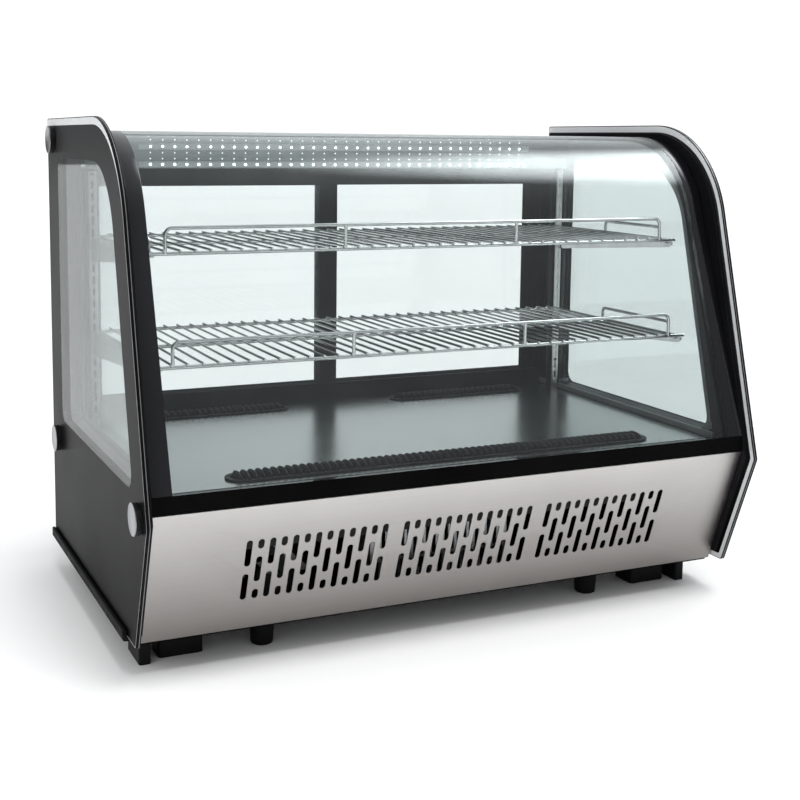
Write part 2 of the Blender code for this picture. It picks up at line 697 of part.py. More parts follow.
def guard_path(across, y, low, high, bend=0.008):
    """A rail bent down to a post at each end, as points along x."""
    x0, x1 = across
    near = bend * 0.3
    path = [(x0, y, low), (x0, y, high - bend), (x0 + near, y, high - near), (x0 + bend, y, high)]
    path += [(x1 - bend, y, high), (x1 - near, y, high - near), (x1, y, high - bend), (x1, y, low)]
    return path


def side_guard_path(x, y0, y1, low, high, bend=0.006):
    return [(x, y0, low), (x, y0, high - bend), (x, y0 + bend, high),
            (x, y1 - bend, high), (x, y1, high - bend), (x, y1, low)]


def shelves():
    half = SHELF_W / 2
    for level, (z, front) in zip(("lower", "upper"), SHELVES):
        low = z - WIRE_R - ROD_R + BITE
        shelf = bars(f"shelf_{level}", [[(-half - ROD_TIP, front, low), (half + ROD_TIP, front, low)]], ROD_R)
        middle = (front + SHELF_REAR) / 2
        cross = [[(-half, y, low), (half, y, low)] for y in (middle, SHELF_REAR)]
        pitch = (SHELF_W - 2 * WIRE_INSET) / (WIRES - 1)
        places = [-half + WIRE_INSET + i * pitch for i in range(WIRES)]
        wires = [[(x, front - 0.003, z), (x, SHELF_REAR + 0.004, z)] for x in places]
        edge = half - 0.0005
        edges = [[(x, front, low), (x, SHELF_REAR, low)] for x in (-edge, edge)]
        reach = (front + 0.020, SIDE_GUARD_END)
        sides = [side_guard_path(x, *reach, low, z + SIDE_GUARD_H) for x in (-edge, edge)]
        posts = [[(x, front, low), (x, front, low + GUARD_H)] for x in (-SHELF_W / 6, SHELF_W / 6)]
        rail = guard_path((-half + 0.016, half - 0.016), front - 0.0005, low, low + GUARD_H)
        pieces = [
            bars(f"cross_{level}", cross, ROD_R, tool=True),
            bars(f"wires_{level}", wires, WIRE_R, tool=True, sides=4),
            bars(f"edges_{level}", edges, ROD_R * 0.96, tool=True),
            bars(f"side_guards_{level}", sides, ROD_R * 0.9, tool=True),
            bars(f"guard_{level}", [rail], ROD_R, tool=True),
            bars(f"posts_{level}", posts, ROD_R * 0.9, tool=True),
        ]
        combine(shelf, pieces)


def bracket_top(z):
    return z - WIRE_R - 2 * ROD_R + BITE - GAP


def brackets():
    for level, (z, front) in zip(("lower", "upper"), SHELVES):
        top = bracket_top(z)
        for side, sign in (("left", -1), ("right", 1)):
            x = SHELF_W / 2 + 0.006
            face = PILASTER_Y - 0.001
            hook = PILASTER_Y + 0.009
            side_line = [(hook, top - 0.004), (hook, top - 0.014), (face, top - 0.014), (face, top - 0.034)]
            side_line += [(front + 0.006, top - 0.008), (front - 0.002, top - 0.004)]
            side_line += [(front - 0.002, top), (face, top), (face, top - 0.004)]
            web = prism(f"bracket_{level}_{side}", side_line, sign * x, sign * (x + 0.0018), CHROME)
            ledge = box(f"ledge_{level}_{side}", sorted((sign * (x - 0.009), sign * (x + 0.001))),
                        (front + 0.002, PILASTER_Y - 0.004), (top - 0.0018, top), tool=True)
            combine(web, [ledge])


def pilasters():
    low = DECK_TOP + GAP
    high = PILASTER_TOP
    for side, sign in (("left", -1), ("right", 1)):
        x0 = FRAME_IN - GAP - 0.021
        x1 = FRAME_IN - GAP
        line = [(sign * x0, PILASTER_Y + 0.012), (sign * x0, PILASTER_Y), (sign * x1, PILASTER_Y)]
        line += [(sign * x1, PILASTER_Y + 0.012)]
        points = folded(line, 0.0015 if sign > 0 else -0.0015)
        channel = prism(f"pilaster_{side}", points, low, high, STEEL, axis="Z")
        x = sign * (SHELF_W / 2 + 0.0069)
        step = (SHELVES[1][0] - SHELVES[0][0]) / 8
        first = bracket_top(SHELVES[0][0]) - 0.009
        places = [first + i * step for i in range(-7, 14) if low + 0.012 < first + i * step < high - 0.012]
        cubes = [((x, PILASTER_Y, z), (0.0036, 0.02, 0.0125)) for z in places]
        cut(channel, [blocks(f"pilaster_slots_{side}", cubes, tool=True)])


def fan(name, centre, radius, depth, axis, flip=1):
    """A hub with pitched blades, as one body, with a bore from one end for its shaft."""
    hub_r = FAN_HUB * radius
    profile = [(0, depth / 2), (hub_r, depth / 2), (hub_r, -depth / 2), (0, -depth / 2)]
    hub = turned(name, profile, PLASTIC, 16, axis=axis)
    blades = []
    long = radius - hub_r * 0.6
    pitch = Matrix.Rotation(math.radians(BLADE_PITCH), 4, "X")
    for i in range(FAN_BLADES):
        blade = bmesh.new()
        size = (long, 0.6 * radius, BLADE_T)
        bmesh.ops.create_cube(blade, size=1.0, matrix=Matrix.LocRotScale(None, None, size))
        spoke = Matrix.Rotation(2 * math.pi * i / FAN_BLADES, 4, "Z")
        spoke = spoke @ Matrix.Translation((hub_r * 0.6 + long / 2, 0, 0))
        bmesh.ops.transform(blade, matrix=UPRIGHT[axis] @ spoke @ pitch, verts=blade.verts)
        blades.append(add(f"{name}_blade_{i}", blade, PLASTIC, True))
    combine(hub, blades)
    bore = [(0, depth * 0.25), (BORE_R, depth * 0.25), (BORE_R, -depth), (0, -depth)]
    hole = turned(f"{name}_bore", [(r, h * flip) for r, h in bore], BLACK, 12, True, axis)
    cut(hub, [hole])
    for item in (*blades, hole, hub):
        item.matrix_world = Matrix.Translation(centre)


def finned(name, x, y, z, fins):
    """A finned coil block, with two rows of grooves between the fins."""
    block = box(name, x, y, z, COIL)
    pitch = (x[1] - x[0]) / fins
    middle = (z[0] + z[1]) / 2
    cubes = []
    for i in range(fins - 1):
        for low, high in ((z[0] + 0.004, middle - 0.002), (middle + 0.002, z[1] - 0.004)):
            centre = (x[0] + (i + 1) * pitch, (y[0] + y[1]) / 2, (low + high) / 2)
            cubes.append((centre, (pitch * 0.6, y[1] - y[0] + 0.02, high - low)))
    cut(block, [blocks(f"{name}_grooves", cubes, tool=True)])


def rod_profile(radius, low, high):
    return [(0, high), (radius, high), (radius, low), (0, low)]


def compressor():
    x, y = PUMP_AT
    foot = FLOOR + 0.006
    shape = [(0, CEILING), (0.028, CEILING - 0.002), (0.046, FLOOR + 0.086), (0.053, FLOOR + 0.068)]
    shape += [(0.053, FLOOR + 0.016), (0.050, foot), (0, foot)]
    pump = turned("compressor", shape, BLACK, 24, at=(x, y, 0))
    outline = rounded((x - 0.07, x + 0.07), (y - 0.05, y + 0.05), 0.01, 3)
    combine(pump, [prism("pump_plate", outline, FLOOR, FLOOR + 0.008, tool=True, axis="Z")])


def condenser():
    """Coil behind the front panel's slots, then a shroud that holds the motor and the fan."""
    x = (-COIL_HALF, COIL_HALF)
    finned("condenser_coil", x, COIL_Y, (FLOOR, CEILING), 22)
    y = COIL_Y[1] + GAP
    z = (FLOOR + CEILING) / 2
    shroud = box("fan_shroud", x, (y, y + SHROUD_T), (FLOOR, CEILING))
    throat = turned("shroud_throat", rod_profile(THROAT_R, -0.1, 0.1), BLACK, 28, True, "Y", (0, y, z))
    cut(shroud, [throat])
    arm = (y + 0.030, y + 0.036)
    combine(shroud, [
        turned("shroud_motor", rod_profile(0.016, 0.026, 0.054), BLACK, 16, True, "Y", (0, y, z)),
        box("shroud_arm_x", (-0.050, 0.050), arm, (z - 0.003, z + 0.003), tool=True),
        box("shroud_arm_z", (-0.003, 0.003), arm, (z - 0.0465, z + 0.0465), tool=True),
        turned("shroud_shaft", rod_profile(SHAFT_R, 0.012, 0.027), CHROME, 12, True, "Y", (0, y, z)),
    ])
    fan("condenser_fan", (0, y + 0.0145, z), THROAT_R - 0.002, 0.016, "Y", -1)


def evaporator():
    """Coil and a flat fan on the tub's floor, under the deck."""
    low = TUB_FLOOR + TUB_WALL + GAP
    finned("evaporator_coil", (-0.30, 0.06), COLD_COIL_Y, (low, low + 0.056), 24)
    x, y = COLD_FAN_AT
    half = COLD_THROAT_R + 0.0065
    outline = rounded((x - half, x + half), (y - half, y + half), 0.008, 3)
    frame = prism("evaporator_fan_frame", outline, low, low + 0.038, BLACK, axis="Z")
    throat = turned("frame_throat", rod_profile(COLD_THROAT_R, -0.1, 0.1), BLACK, 32, True, at=(x, y, low))
    cut(frame, [throat])
    motor = [(0, 0.025), (SHAFT_R, 0.025), (SHAFT_R, 0.015), (0.018, 0.015), (0.018, 0.001), (0, 0.001)]
    reach = COLD_THROAT_R + 0.0025
    arm = (low + 0.002, low + 0.008)
    combine(frame, [
        turned("frame_motor", motor, BLACK, 16, True, at=(x, y, low)),
        box("frame_arm_x", (x - reach, x + reach), (y - 0.003, y + 0.003), arm, tool=True),
        box("frame_arm_y", (x - 0.003, x + 0.003), (y - reach, y + reach), arm, tool=True),
    ])
    fan("evaporator_fan", (x, y, low + 0.0255), COLD_THROAT_R - 0.0025, 0.018, "Z")


def plumbing():
    """The electrical box and one tube from the compressor to the condenser."""
    box("electrical_box", (0.20, 0.39), (REAR - 0.092, REAR - 0.048), (FLOOR, FLOOR + 0.062), FOAM)
    z = FLOOR + 0.048
    start = PUMP_AT[0] + 0.0535
    y = COIL_Y[0] + 0.022
    side = PUMP_AT[1]
    path = [(start, side - 0.010, z), (-0.150, side - 0.025, z), (-0.130, side - 0.045, z)]
    path += [(-0.130, y + 0.028, z)]
    path += [(-0.126, y + 0.016, z), (-0.118, y, z), (-COIL_HALF - GAP, y, z)]
    bars("refrigerant_line", [path], 0.0032, COPPER, sides=8)


end_plates()
side_frames()
front_glass()
front_sill()
front_panel()
top_parts()
deck()
tub()
base()
rear_panel()
controls()
rear_frame()
doors()
shelves()
brackets()
pilasters()
compressor()
condenser()
evaporator()
plumbing()
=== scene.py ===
import math

import bmesh
import bpy
from mathutils import Matrix, Vector


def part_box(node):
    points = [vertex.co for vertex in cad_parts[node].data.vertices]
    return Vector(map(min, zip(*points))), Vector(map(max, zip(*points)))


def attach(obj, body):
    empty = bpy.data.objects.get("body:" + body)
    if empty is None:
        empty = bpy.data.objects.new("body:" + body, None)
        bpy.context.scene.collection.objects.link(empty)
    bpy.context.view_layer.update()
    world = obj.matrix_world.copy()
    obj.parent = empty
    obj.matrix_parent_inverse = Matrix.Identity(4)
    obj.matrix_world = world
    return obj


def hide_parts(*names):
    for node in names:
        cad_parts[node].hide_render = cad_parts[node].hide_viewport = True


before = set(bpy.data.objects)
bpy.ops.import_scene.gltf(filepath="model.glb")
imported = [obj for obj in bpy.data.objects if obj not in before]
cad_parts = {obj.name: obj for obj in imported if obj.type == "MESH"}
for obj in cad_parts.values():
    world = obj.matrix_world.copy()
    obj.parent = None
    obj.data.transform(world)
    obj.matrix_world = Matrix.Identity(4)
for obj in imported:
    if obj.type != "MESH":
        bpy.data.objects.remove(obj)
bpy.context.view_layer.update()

# Places from the frame. The end plates give the overall size, and the front glass its own box.
PLATE_LOW, PLATE_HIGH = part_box("end_glass_right")
PLATE_IN, PLATE_OUT = PLATE_LOW.x, PLATE_HIGH.x
FRONT, REAR = PLATE_LOW.y, PLATE_HIGH.y
BOTTOM, HEIGHT = PLATE_LOW.z, PLATE_HIGH.z
GLASS_LOW, GLASS_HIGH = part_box("front_glass")
PANEL_LOW, PANEL_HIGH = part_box("front_panel")
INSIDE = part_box("deck_pan")[1].x
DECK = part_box("deck_pan")[1].z

# The end plate's outline
SHOULDER_R = 0.170
UPPER_SLANT = math.radians(15.0)
LOWER_SLANT = math.radians(20.6)
KNEE_Z = 0.214
KNEE_R = 0.010
CORNER_R = 0.004
BAND_INSIDE = 0.0075
BAND_TOP = 0.0105
BAND_SIDE = 0.0016
BAND_REAR = 0.0006
RIM = 0.0012
SEAM = 0.0004
ARC_STEPS = 40

# A thin stripe round the plate's edge, near its inner face
STRIPE_IN = 0.0016
STRIPE_W = 0.0009
STRIPE_PROUD = 0.00015
STRIPE_DEEP = 0.0005

# The clear window in each end
WINDOW_TOP = 0.630
WINDOW_BOTTOM = 0.243
WINDOW_INSET = 0.057
WINDOW_REAR = 0.075
WINDOW_R = 0.018

# Curved front glass
GLASS_R = 0.149
GLASS_SLANT = math.radians(18.9)
GLASS_T = 0.006
BORDER = 0.025

# Front panel, with three groups of slot columns that alternate between two sets of runs
SHEET = 0.0015
SLOT_PITCH = 0.0152
SLOT_W = 0.0078
SLOT_COLUMNS = 13
SLOT_GROUP_STEP = 14
SLOT_RUNS_A = ((0.050, 0.089), (0.101, 0.140))
SLOT_RUNS_B = ((0.050, 0.064), (0.076, 0.114), (0.126, 0.140))
LIP = 0.012
PANEL_SHARP = math.radians(50)

# Shelves
WIRE_R = 0.00175
ROD_R = 0.0025
WIRES = 38
SHELF_W = 0.780
WIRE_INSET = 0.015
WIRE_SUNK = 0.0009
ROD_FRONT = 0.003
ROD_BACK = 0.004
ROD_TUCK = 0.0005
GUARD_H = 0.032
GUARD_INSET = 0.016
GUARD_BEND = 0.009
SIDE_GUARD_H = 0.015
SIDE_GUARD_START = 0.020
SIDE_GUARD_END = 0.034
SIDE_GUARD_BEND = 0.006

# Slotted shelf rails
RAIL_HALF = 0.006
RAIL_SHEET = 0.0016
RAIL_CHEEK = 0.0012
RAIL_GAP = 0.0003
RAIL_MARGIN = 0.012
RAIL_SLOT_HALF = 0.0062
RAIL_SLOT_R = 0.0017
BRACKET_STEPS = 8
HOOK_DROP = 0.009

# Air grilles
GRILLE_RIM_W = 0.007
GRILLE_RIM_T = 0.0022
RIB_PITCH = 0.010
RIB_HIGH = 0.0095
RIB_HALF = 0.0036
RIB_TIP_HALF = 0.0005
RIB_TIP_HIGH = 0.0006
RIB_BASE = 0.0004

# Lamp strip. Each row: share of the way down the lens, radius of its chips, whether they are bright. Bright
# rows are the lamps; the other rows are painted glints, faint glowing dots with no lamp behind them.
LENS_T = 0.003
LED_PITCH = 0.0184
LED_HALF = 0.312
LED_ROWS = (
    (0.22, 0.0015, True),
    (0.91, 0.0017, True),
    (-0.04, 0.0009, False),
    (0.46, 0.0008, False),
    (0.69, 0.0008, False),
)
BOARD_HALF = 0.0045
BOARD_PAST = 0.018

# Screws, caps, beads and seals
SCREW_R = 0.0035
RAIL_SCREW_R = 0.0030
PANEL_SCREWS = (-0.405, -0.2, 0.0, 0.2, 0.405)
PANEL_SCREW_IN = 0.012
CAP_RIBS = 60
CAP_RIB_DEPTH = 0.0008
BEAD_W = 0.0052
BEAD_H = 0.0085
SEAL_OUT = 0.0052
SEAL_IN = 0.0015
SEAL_T = 0.0018

# Light: a soft sun, a fill, the case's own strip, and a soft box that shows only in reflections
SUN_POWER = 1.9
SUN_ANGLE = math.radians(25)
SUN_FROM = Vector((0.10, -0.30, 1.0))
FILL_PLACE = (-2.2, -1.0, 1.2)
FILL_AIM = (0.0, 0.0, 0.35)
FILL_SIZE = (1.0, 1.6)
FILL_POWER = 11
STRIP_POWER = 1.0
STRIP_WIDE = 0.012
STRIP_COLOUR = (0.93, 0.98, 1.0)
SOFT_BOX = Vector((0.70, 0.04, 0.71)).normalized()
SOFT_BOX_EDGE = 0.90
SOFT_BOX_GLOW = 10.5

# Camera. The turn is yaw, pitch and roll in degrees, and the lens is a share of the sensor's width
CAMERA_PLACE = Vector((-0.7959, -1.6871, 0.6584))
CAMERA_TURN = (-24.303, 7.057, 0.577)
CAMERA_LENS = 1.610
CAMERA_SHIFT = (0.035, -0.125)

SIDE_ON = Matrix(((0, 0, 1, 0), (1, 0, 0, 0), (0, 1, 0, 0), (0, 0, 0, 1)))
SIDES = (("left", -1), ("right", 1))
SHARP = math.radians(35)


# ---------------------------------------------------------------- materials

def add(mat, kind, values=None, **settings):
    """A node, with settings as attributes and values or sockets for its inputs."""
    tree = mat.node_tree
    node = tree.nodes.new("ShaderNode" + kind)
    for key, value in settings.items():
        setattr(node, key, value)
    for key, value in (values or {}).items():
        if isinstance(value, bpy.types.NodeSocket):
            tree.links.new(value, node.inputs[key])
        else:
            node.inputs[key].default_value = value
    return node


def surface(name, colour, roughness, metallic=0.0, **sockets):
    """A material with one Principled shader. Underscores in socket names stand for spaces."""
    mat = bpy.data.materials.new(name)
    mat.use_nodes = True
    shader = mat.node_tree.nodes["Principled BSDF"]
    shader.inputs["Base Color"].default_value = (*colour, 1)
    shader.inputs["Roughness"].default_value = roughness
    shader.inputs["Metallic"].default_value = metallic
    for key, value in sockets.items():
        shader.inputs[key.replace("_", " ")].default_value = value
    return mat, shader


def grain(mat, scale, stretch=(1, 1, 1), detail=4.0, rough=0.55):
    """Noise over the object's own coordinates, stretched along its axes."""
    place = add(mat, "TexCoord").outputs["Object"]
    place = add(mat, "Mapping", {"Vector": place, "Scale": stretch}).outputs["Vector"]
    noise = add(mat, "TexNoise", {"Vector": place, "Scale": scale, "Detail": detail, "Roughness": rough})
    return noise.outputs["Fac"]


def between(mat, value, low, high, start=0.3, end=0.7):
    """The value's middle range spread from low to high."""
    keys = {"Value": value, "From Min": start, "From Max": end, "To Min": low, "To Max": high}
    return add(mat, "MapRange", keys).outputs["Result"]


def tint(mat, factor, first, second):
    node = add(mat, "Mix", data_type="RGBA")
    tree = mat.node_tree
    tree.links.new(factor, node.inputs[0])
    node.inputs[6].default_value = (*first, 1)
    node.inputs[7].default_value = (*second, 1)
    return node.outputs[2]


def bump(mat, height, strength, distance=0.0004):
    keys = {"Height": height, "Strength": strength, "Distance": distance}
    return add(mat, "Bump", keys).outputs["Normal"]


def link(mat, shader, **sockets):
    for key, socket in sockets.items():
        mat.node_tree.links.new(socket, shader.inputs[key.replace("_", " ")])


def mottled(name, colour, dark, rough, scale, fine, strength, metallic=0.0, **sockets):
    """A moulded, painted or cast surface.

    Colour and gloss vary over a large scale, and a fine texture over a small one.
    """
    mat, shader = surface(name, colour, rough[0], metallic, **sockets)
    broad = grain(mat, scale, detail=5)
    small = grain(mat, fine, detail=2)
    link(mat, shader, Base_Color=tint(mat, between(mat, broad, 0, 1), dark, colour))
    link(mat, shader, Roughness=between(mat, broad, *rough))
    link(mat, shader, Normal=bump(mat, small, strength))
    return mat


def brushed(name, colour, dark, rough, stretch, strength=0.15, scale=220.0):
    """Sheet metal with fine lines along one axis and faint smears."""
    mat, shader = surface(name, colour, rough[0], 1.0)
    lines = grain(mat, scale, stretch, detail=3, rough=0.7)
    smear = grain(mat, 7.0, detail=3)
    both = add(mat, "Math", {0: lines, 1: smear}, operation="ADD").outputs[0]
    both = add(mat, "Math", {0: both, 1: 0.5}, operation="MULTIPLY").outputs[0]
    link(mat, shader, Base_Color=tint(mat, between(mat, both, 0, 1, 0.36, 0.64), dark, colour))
    link(mat, shader, Roughness=between(mat, both, *rough))
    link(mat, shader, Normal=bump(mat, lines, strength, 0.00005))
    return mat


def painted_shade_to_foot(mat, low, high, shade):
    """Paints shade into a surface's colour: darker towards its foot, between two heights."""
    shader = mat.node_tree.nodes["Principled BSDF"]
    place = add(mat, "TexCoord").outputs["Object"]
    height = add(mat, "SeparateXYZ", {0: place}).outputs["Z"]
    share = between(mat, height, 0.0, 1.0, low, high)
    tree = mat.node_tree
    base = shader.inputs["Base Color"].links[0].from_socket
    node = add(mat, "Mix", data_type="RGBA", blend_type="MULTIPLY")
    node.inputs[0].default_value = 1.0
    tree.links.new(base, node.inputs[6])
    tree.links.new(tint(mat, share, shade, (1, 1, 1)), node.inputs[7])
    tree.links.new(node.outputs[2], shader.inputs["Base Color"])


def clear(name, through, gloss=0.9, least=0.045):
    """Glass: a tinted clear layer under a reflection that grows at a slant, with faint smudges."""
    mat, shader = surface(name, (0.92, 0.96, 0.95), 0.03, 1.0)
    smudge = grain(mat, 9.0, detail=6)
    link(mat, shader, Roughness=between(mat, smudge, 0.015, 0.06))
    facing = add(mat, "LayerWeight", {"Blend": 0.5}).outputs["Facing"]
    rise = add(mat, "Math", {0: facing, 1: 5.0}, operation="POWER").outputs[0]
    mirror = between(mat, rise, least, gloss, 0.0, 1.0)
    film = between(mat, smudge, 0.0, 0.012)
    amount = add(mat, "Math", {0: mirror, 1: film}, operation="ADD").outputs[0]
    see = add(mat, "BsdfTransparent", {"Color": (*through, 1)}).outputs[0]
    mix = add(mat, "MixShader", {0: amount, 1: see, 2: shader.outputs[0]})
    out = mat.node_tree.nodes["Material Output"]
    mat.node_tree.links.new(mix.outputs[0], out.inputs["Surface"])
    return mat


def lit(name, colour, strength):
    """A lens that glows, a little brighter at its middle. Also used for painted glints, which glow though
    they are no lamps.
    """
    mat, shader = surface(name, colour, 0.25)
    shader.inputs["Emission Color"].default_value = (*colour, 1)
    facing = add(mat, "LayerWeight", {"Blend": 0.5}).outputs["Facing"]
    link(mat, shader, Emission_Strength=between(mat, facing, strength, strength * 0.5, 0.0, 1.0))
    link(mat, shader, Base_Color=tint(mat, grain(mat, 300.0), colour, (0.85, 0.88, 0.9)))
    return mat


WINDOW_GLASS = clear("window_glass", (0.885, 0.907, 0.905), 0.6, 0.025)
FRONT_GLASS = clear("front_glass", (0.965, 0.980, 0.976), 0.9, 0.035)
DOOR_GLASS = clear("door_glass", (0.890, 0.910, 0.908), 0.6, 0.02)
DULL = {"Specular_IOR_Level": 0.4, "IOR": 1.18}
FLAT = {"Specular_IOR_Level": 0.4, "IOR": 1.07}
PRINT = mottled(
    "printed_glass", (0.036, 0.036, 0.037), (0.032, 0.032, 0.033), (0.28, 0.34), 6.0, 900.0, 0.01, **FLAT
)
BORDER_PRINT = mottled(
    "glossy_border", (0.006, 0.006, 0.007), (0.004, 0.004, 0.005), (0.10, 0.16), 8.0, 700.0, 0.01
)
SILVER = mottled(
    "silver_band", (0.78, 0.79, 0.80), (0.74, 0.75, 0.76), (0.32, 0.38), 14.0, 1400.0, 0.01, 0.10
)
PINSTRIPE = mottled(
    "pinstripe", (0.20, 0.20, 0.21), (0.17, 0.17, 0.18), (0.30, 0.36), 20.0, 1400.0, 0.01, 0.35
)
EDGE = mottled(
    "black_edge", (0.005, 0.005, 0.005), (0.003, 0.003, 0.003), (0.22, 0.32), 14.0, 1100.0, 0.03, **DULL
)
MOULDING = mottled(
    "black_moulding", (0.009, 0.009, 0.010), (0.005, 0.005, 0.006), (0.30, 0.42), 11.0, 1300.0, 0.08, **DULL
)
ENAMEL = mottled(
    "black_enamel", (0.004, 0.004, 0.004), (0.002, 0.002, 0.002), (0.22, 0.32), 9.0, 1000.0, 0.05, **FLAT
)
ANODISED = mottled(
    "black_anodised", (0.012, 0.012, 0.013), (0.008, 0.008, 0.009), (0.30, 0.40), 12.0, 400.0, 0.005, **FLAT
)
RIBBED = mottled(
    "black_plastic", (0.016, 0.016, 0.017), (0.009, 0.009, 0.010), (0.34, 0.48), 18.0, 1200.0, 0.12, **DULL
)
RUBBER = mottled(
    "rubber", (0.009, 0.009, 0.009), (0.005, 0.005, 0.005), (0.50, 0.70), 24.0, 800.0, 0.25, **DULL
)
GASKET = mottled("grey_gasket", (0.085, 0.092, 0.094), (0.060, 0.065, 0.066), (0.35, 0.50), 24.0, 900.0, 0.20)
LINER = mottled("liner", (0.62, 0.65, 0.66), (0.52, 0.55, 0.56), (0.40, 0.55), 10.0, 700.0, 0.15)
NICKEL = mottled("plated_wire", (0.60, 0.61, 0.61), (0.48, 0.49, 0.49), (0.14, 0.22), 30.0, 1500.0, 0.03, 1.0)
BOARD = mottled("lamp_board", (0.42, 0.46, 0.46), (0.34, 0.38, 0.38), (0.28, 0.40), 30.0, 900.0, 0.10, 0.2)
COPPER = mottled("copper_tube", (0.72, 0.36, 0.20), (0.45, 0.20, 0.11), (0.22, 0.42), 40.0, 900.0, 0.20, 1.0)
FINS = brushed("aluminium_fins", (0.72, 0.74, 0.75), (0.45, 0.47, 0.48), (0.22, 0.42), (1, 1, 14), 0.4, 60.0)
PANEL = brushed("panel_steel", (0.57, 0.555, 0.545), (0.52, 0.505, 0.495), (0.30, 0.38), (0.03, 4, 4), 0.06)
STEEL = brushed("sheet_steel", (0.70, 0.70, 0.70), (0.58, 0.58, 0.58), (0.26, 0.38), (0.03, 4, 4))
DECK_STEEL = brushed(
    "deck_steel", (0.60, 0.62, 0.61), (0.54, 0.56, 0.55), (0.20, 0.28), (0.04, 3, 3), 0.006, 160.0
)
CANOPY = brushed("canopy_steel", (0.17, 0.19, 0.19), (0.13, 0.15, 0.15), (0.24, 0.34), (0.03, 4, 4), 0.08)
SPUN = brushed("spun_metal", (0.36, 0.36, 0.37), (0.28, 0.28, 0.29), (0.24, 0.38), (1, 1, 1), 0.10, 420.0)
BARREL = brushed("cap_barrel", (0.08, 0.08, 0.08), (0.04, 0.04, 0.04), (0.26, 0.42), (1, 1, 1), 0.15, 420.0)
# Painted shade: the steel panel's colour darkens towards its foot.
painted_shade_to_foot(PANEL, PANEL_LOW.z, PANEL_HIGH.z, (0.38, 0.365, 0.355))
# Painted shade: the printed end plates' colour darkens towards their foot.
painted_shade_to_foot(PRINT, BOTTOM, HEIGHT, (0.05, 0.05, 0.05))
TUB_SHELL = mottled(
    "tub_shell", (0.030, 0.031, 0.032), (0.020, 0.021, 0.022), (0.45, 0.60), 10.0, 700.0, 0.15
)
SWITCH_RED = mottled("switch_red", (0.50, 0.03, 0.025), (0.38, 0.02, 0.02), (0.22, 0.32), 60.0, 1500.0, 0.05)
LED = lit("led_lens", (0.93, 0.98, 1.0), 9.0)
# Painted glints: faint glowing dots on the strip, not lamps.
LED_GLINT_GLOW = lit("painted_glint_glow", (0.88, 0.96, 1.0), 2.2)


# ---------------------------------------------------------------- shapes

def piece(name, mesh, mats, body="case", hides=(), sharp=SHARP):
    """A finished mesh as a piece that rides on a body, and stands for the nodes it hides."""
    obj = bpy.data.objects.new(name, mesh)
    bpy.context.scene.collection.objects.link(obj)
    for mat in mats if isinstance(mats, (list, tuple)) else [mats]:
        mesh.materials.append(mat)
    mesh.shade_smooth()
    mesh.set_sharp_from_angle(angle=sharp)
    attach(obj, body)
    if hides:
        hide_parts(*hides)
    return obj


def mesh_of(bm, name):
    bmesh.ops.remove_doubles(bm, verts=bm.verts, dist=1e-6)
    bmesh.ops.recalc_face_normals(bm, faces=bm.faces)
    mesh = bpy.data.meshes.new(name)
    bm.to_mesh(mesh)
    bm.free()
    return mesh


def from_curve(name, curve, turn):
    """A curve's evaluated mesh, turned into place."""
    source = bpy.data.objects.new(name, curve)
    bpy.context.scene.collection.objects.link(source)
    graph = bpy.context.evaluated_depsgraph_get()
    mesh = bpy.data.meshes.new_from_object(source.evaluated_get(graph))
    bm = bmesh.new()
    bm.from_mesh(mesh)
    bmesh.ops.transform(bm, matrix=turn, verts=bm.verts)
    bpy.data.objects.remove(source)
    bpy.data.meshes.remove(mesh)
    return mesh_of(bm, name)


def splines(curve, lines, closed):
    for points in lines:
        spline = curve.splines.new("POLY")
        spline.points.add(len(points) - 1)
        for target, point in zip(spline.points, points):
            target.co = (*point, *(0,) * (3 - len(point)), 1)
        spline.use_cyclic_u = closed


def flat(name, outlines, start, end, turn=SIDE_ON, edge=0.0):
    """Flat outlines, holes included, thickened from start to end, with rounded edges of radius edge."""
    curve = bpy.data.curves.new(name, "CURVE")
    curve.dimensions = "2D"
    curve.fill_mode = "BOTH"
    curve.extrude = abs(end - start) / 2 - edge
    curve.bevel_depth = edge
    curve.bevel_resolution = 2
    curve.offset = -edge
    splines(curve, outlines, True)
    middle = Matrix.Translation((0, 0, (start + end) / 2))
    return from_curve(name, curve, turn @ middle)


def wires(name, paths, radius, sides=12):
    """Round wires along paths of points."""
    curve = bpy.data.curves.new(name, "CURVE")
    curve.dimensions = "3D"
    curve.bevel_depth = radius
    curve.bevel_resolution = (sides - 4) // 2
    curve.use_fill_caps = True
    splines(curve, paths, False)
    return from_curve(name, curve, Matrix())


def join(name, meshes):
    """Several meshes as one, with each keeping its own material slot."""
    bm = bmesh.new()
    for slot, mesh in enumerate(meshes):
        start = len(bm.faces)
        bm.from_mesh(mesh)
        bm.faces.ensure_lookup_table()
        for face in bm.faces[start:]:
            face.material_index = slot
        bpy.data.meshes.remove(mesh)
    mesh = bpy.data.meshes.new(name)
    bm.to_mesh(mesh)
    bm.free()
    return mesh


def one_slot(mesh):
    for face in mesh.polygons:
        face.material_index = 0
    return mesh


def rounded_box(name, low, high, radius, segments=3):
    bm = bmesh.new()
    size = Vector(high) - Vector(low)
    middle = (Vector(high) + Vector(low)) / 2
    bmesh.ops.create_cube(bm, size=1.0, matrix=Matrix.LocRotScale(middle, None, size))
    bmesh.ops.bevel(bm, geom=bm.edges[:], offset=radius, segments=segments, profile=0.5, affect="EDGES")
    return mesh_of(bm, name)


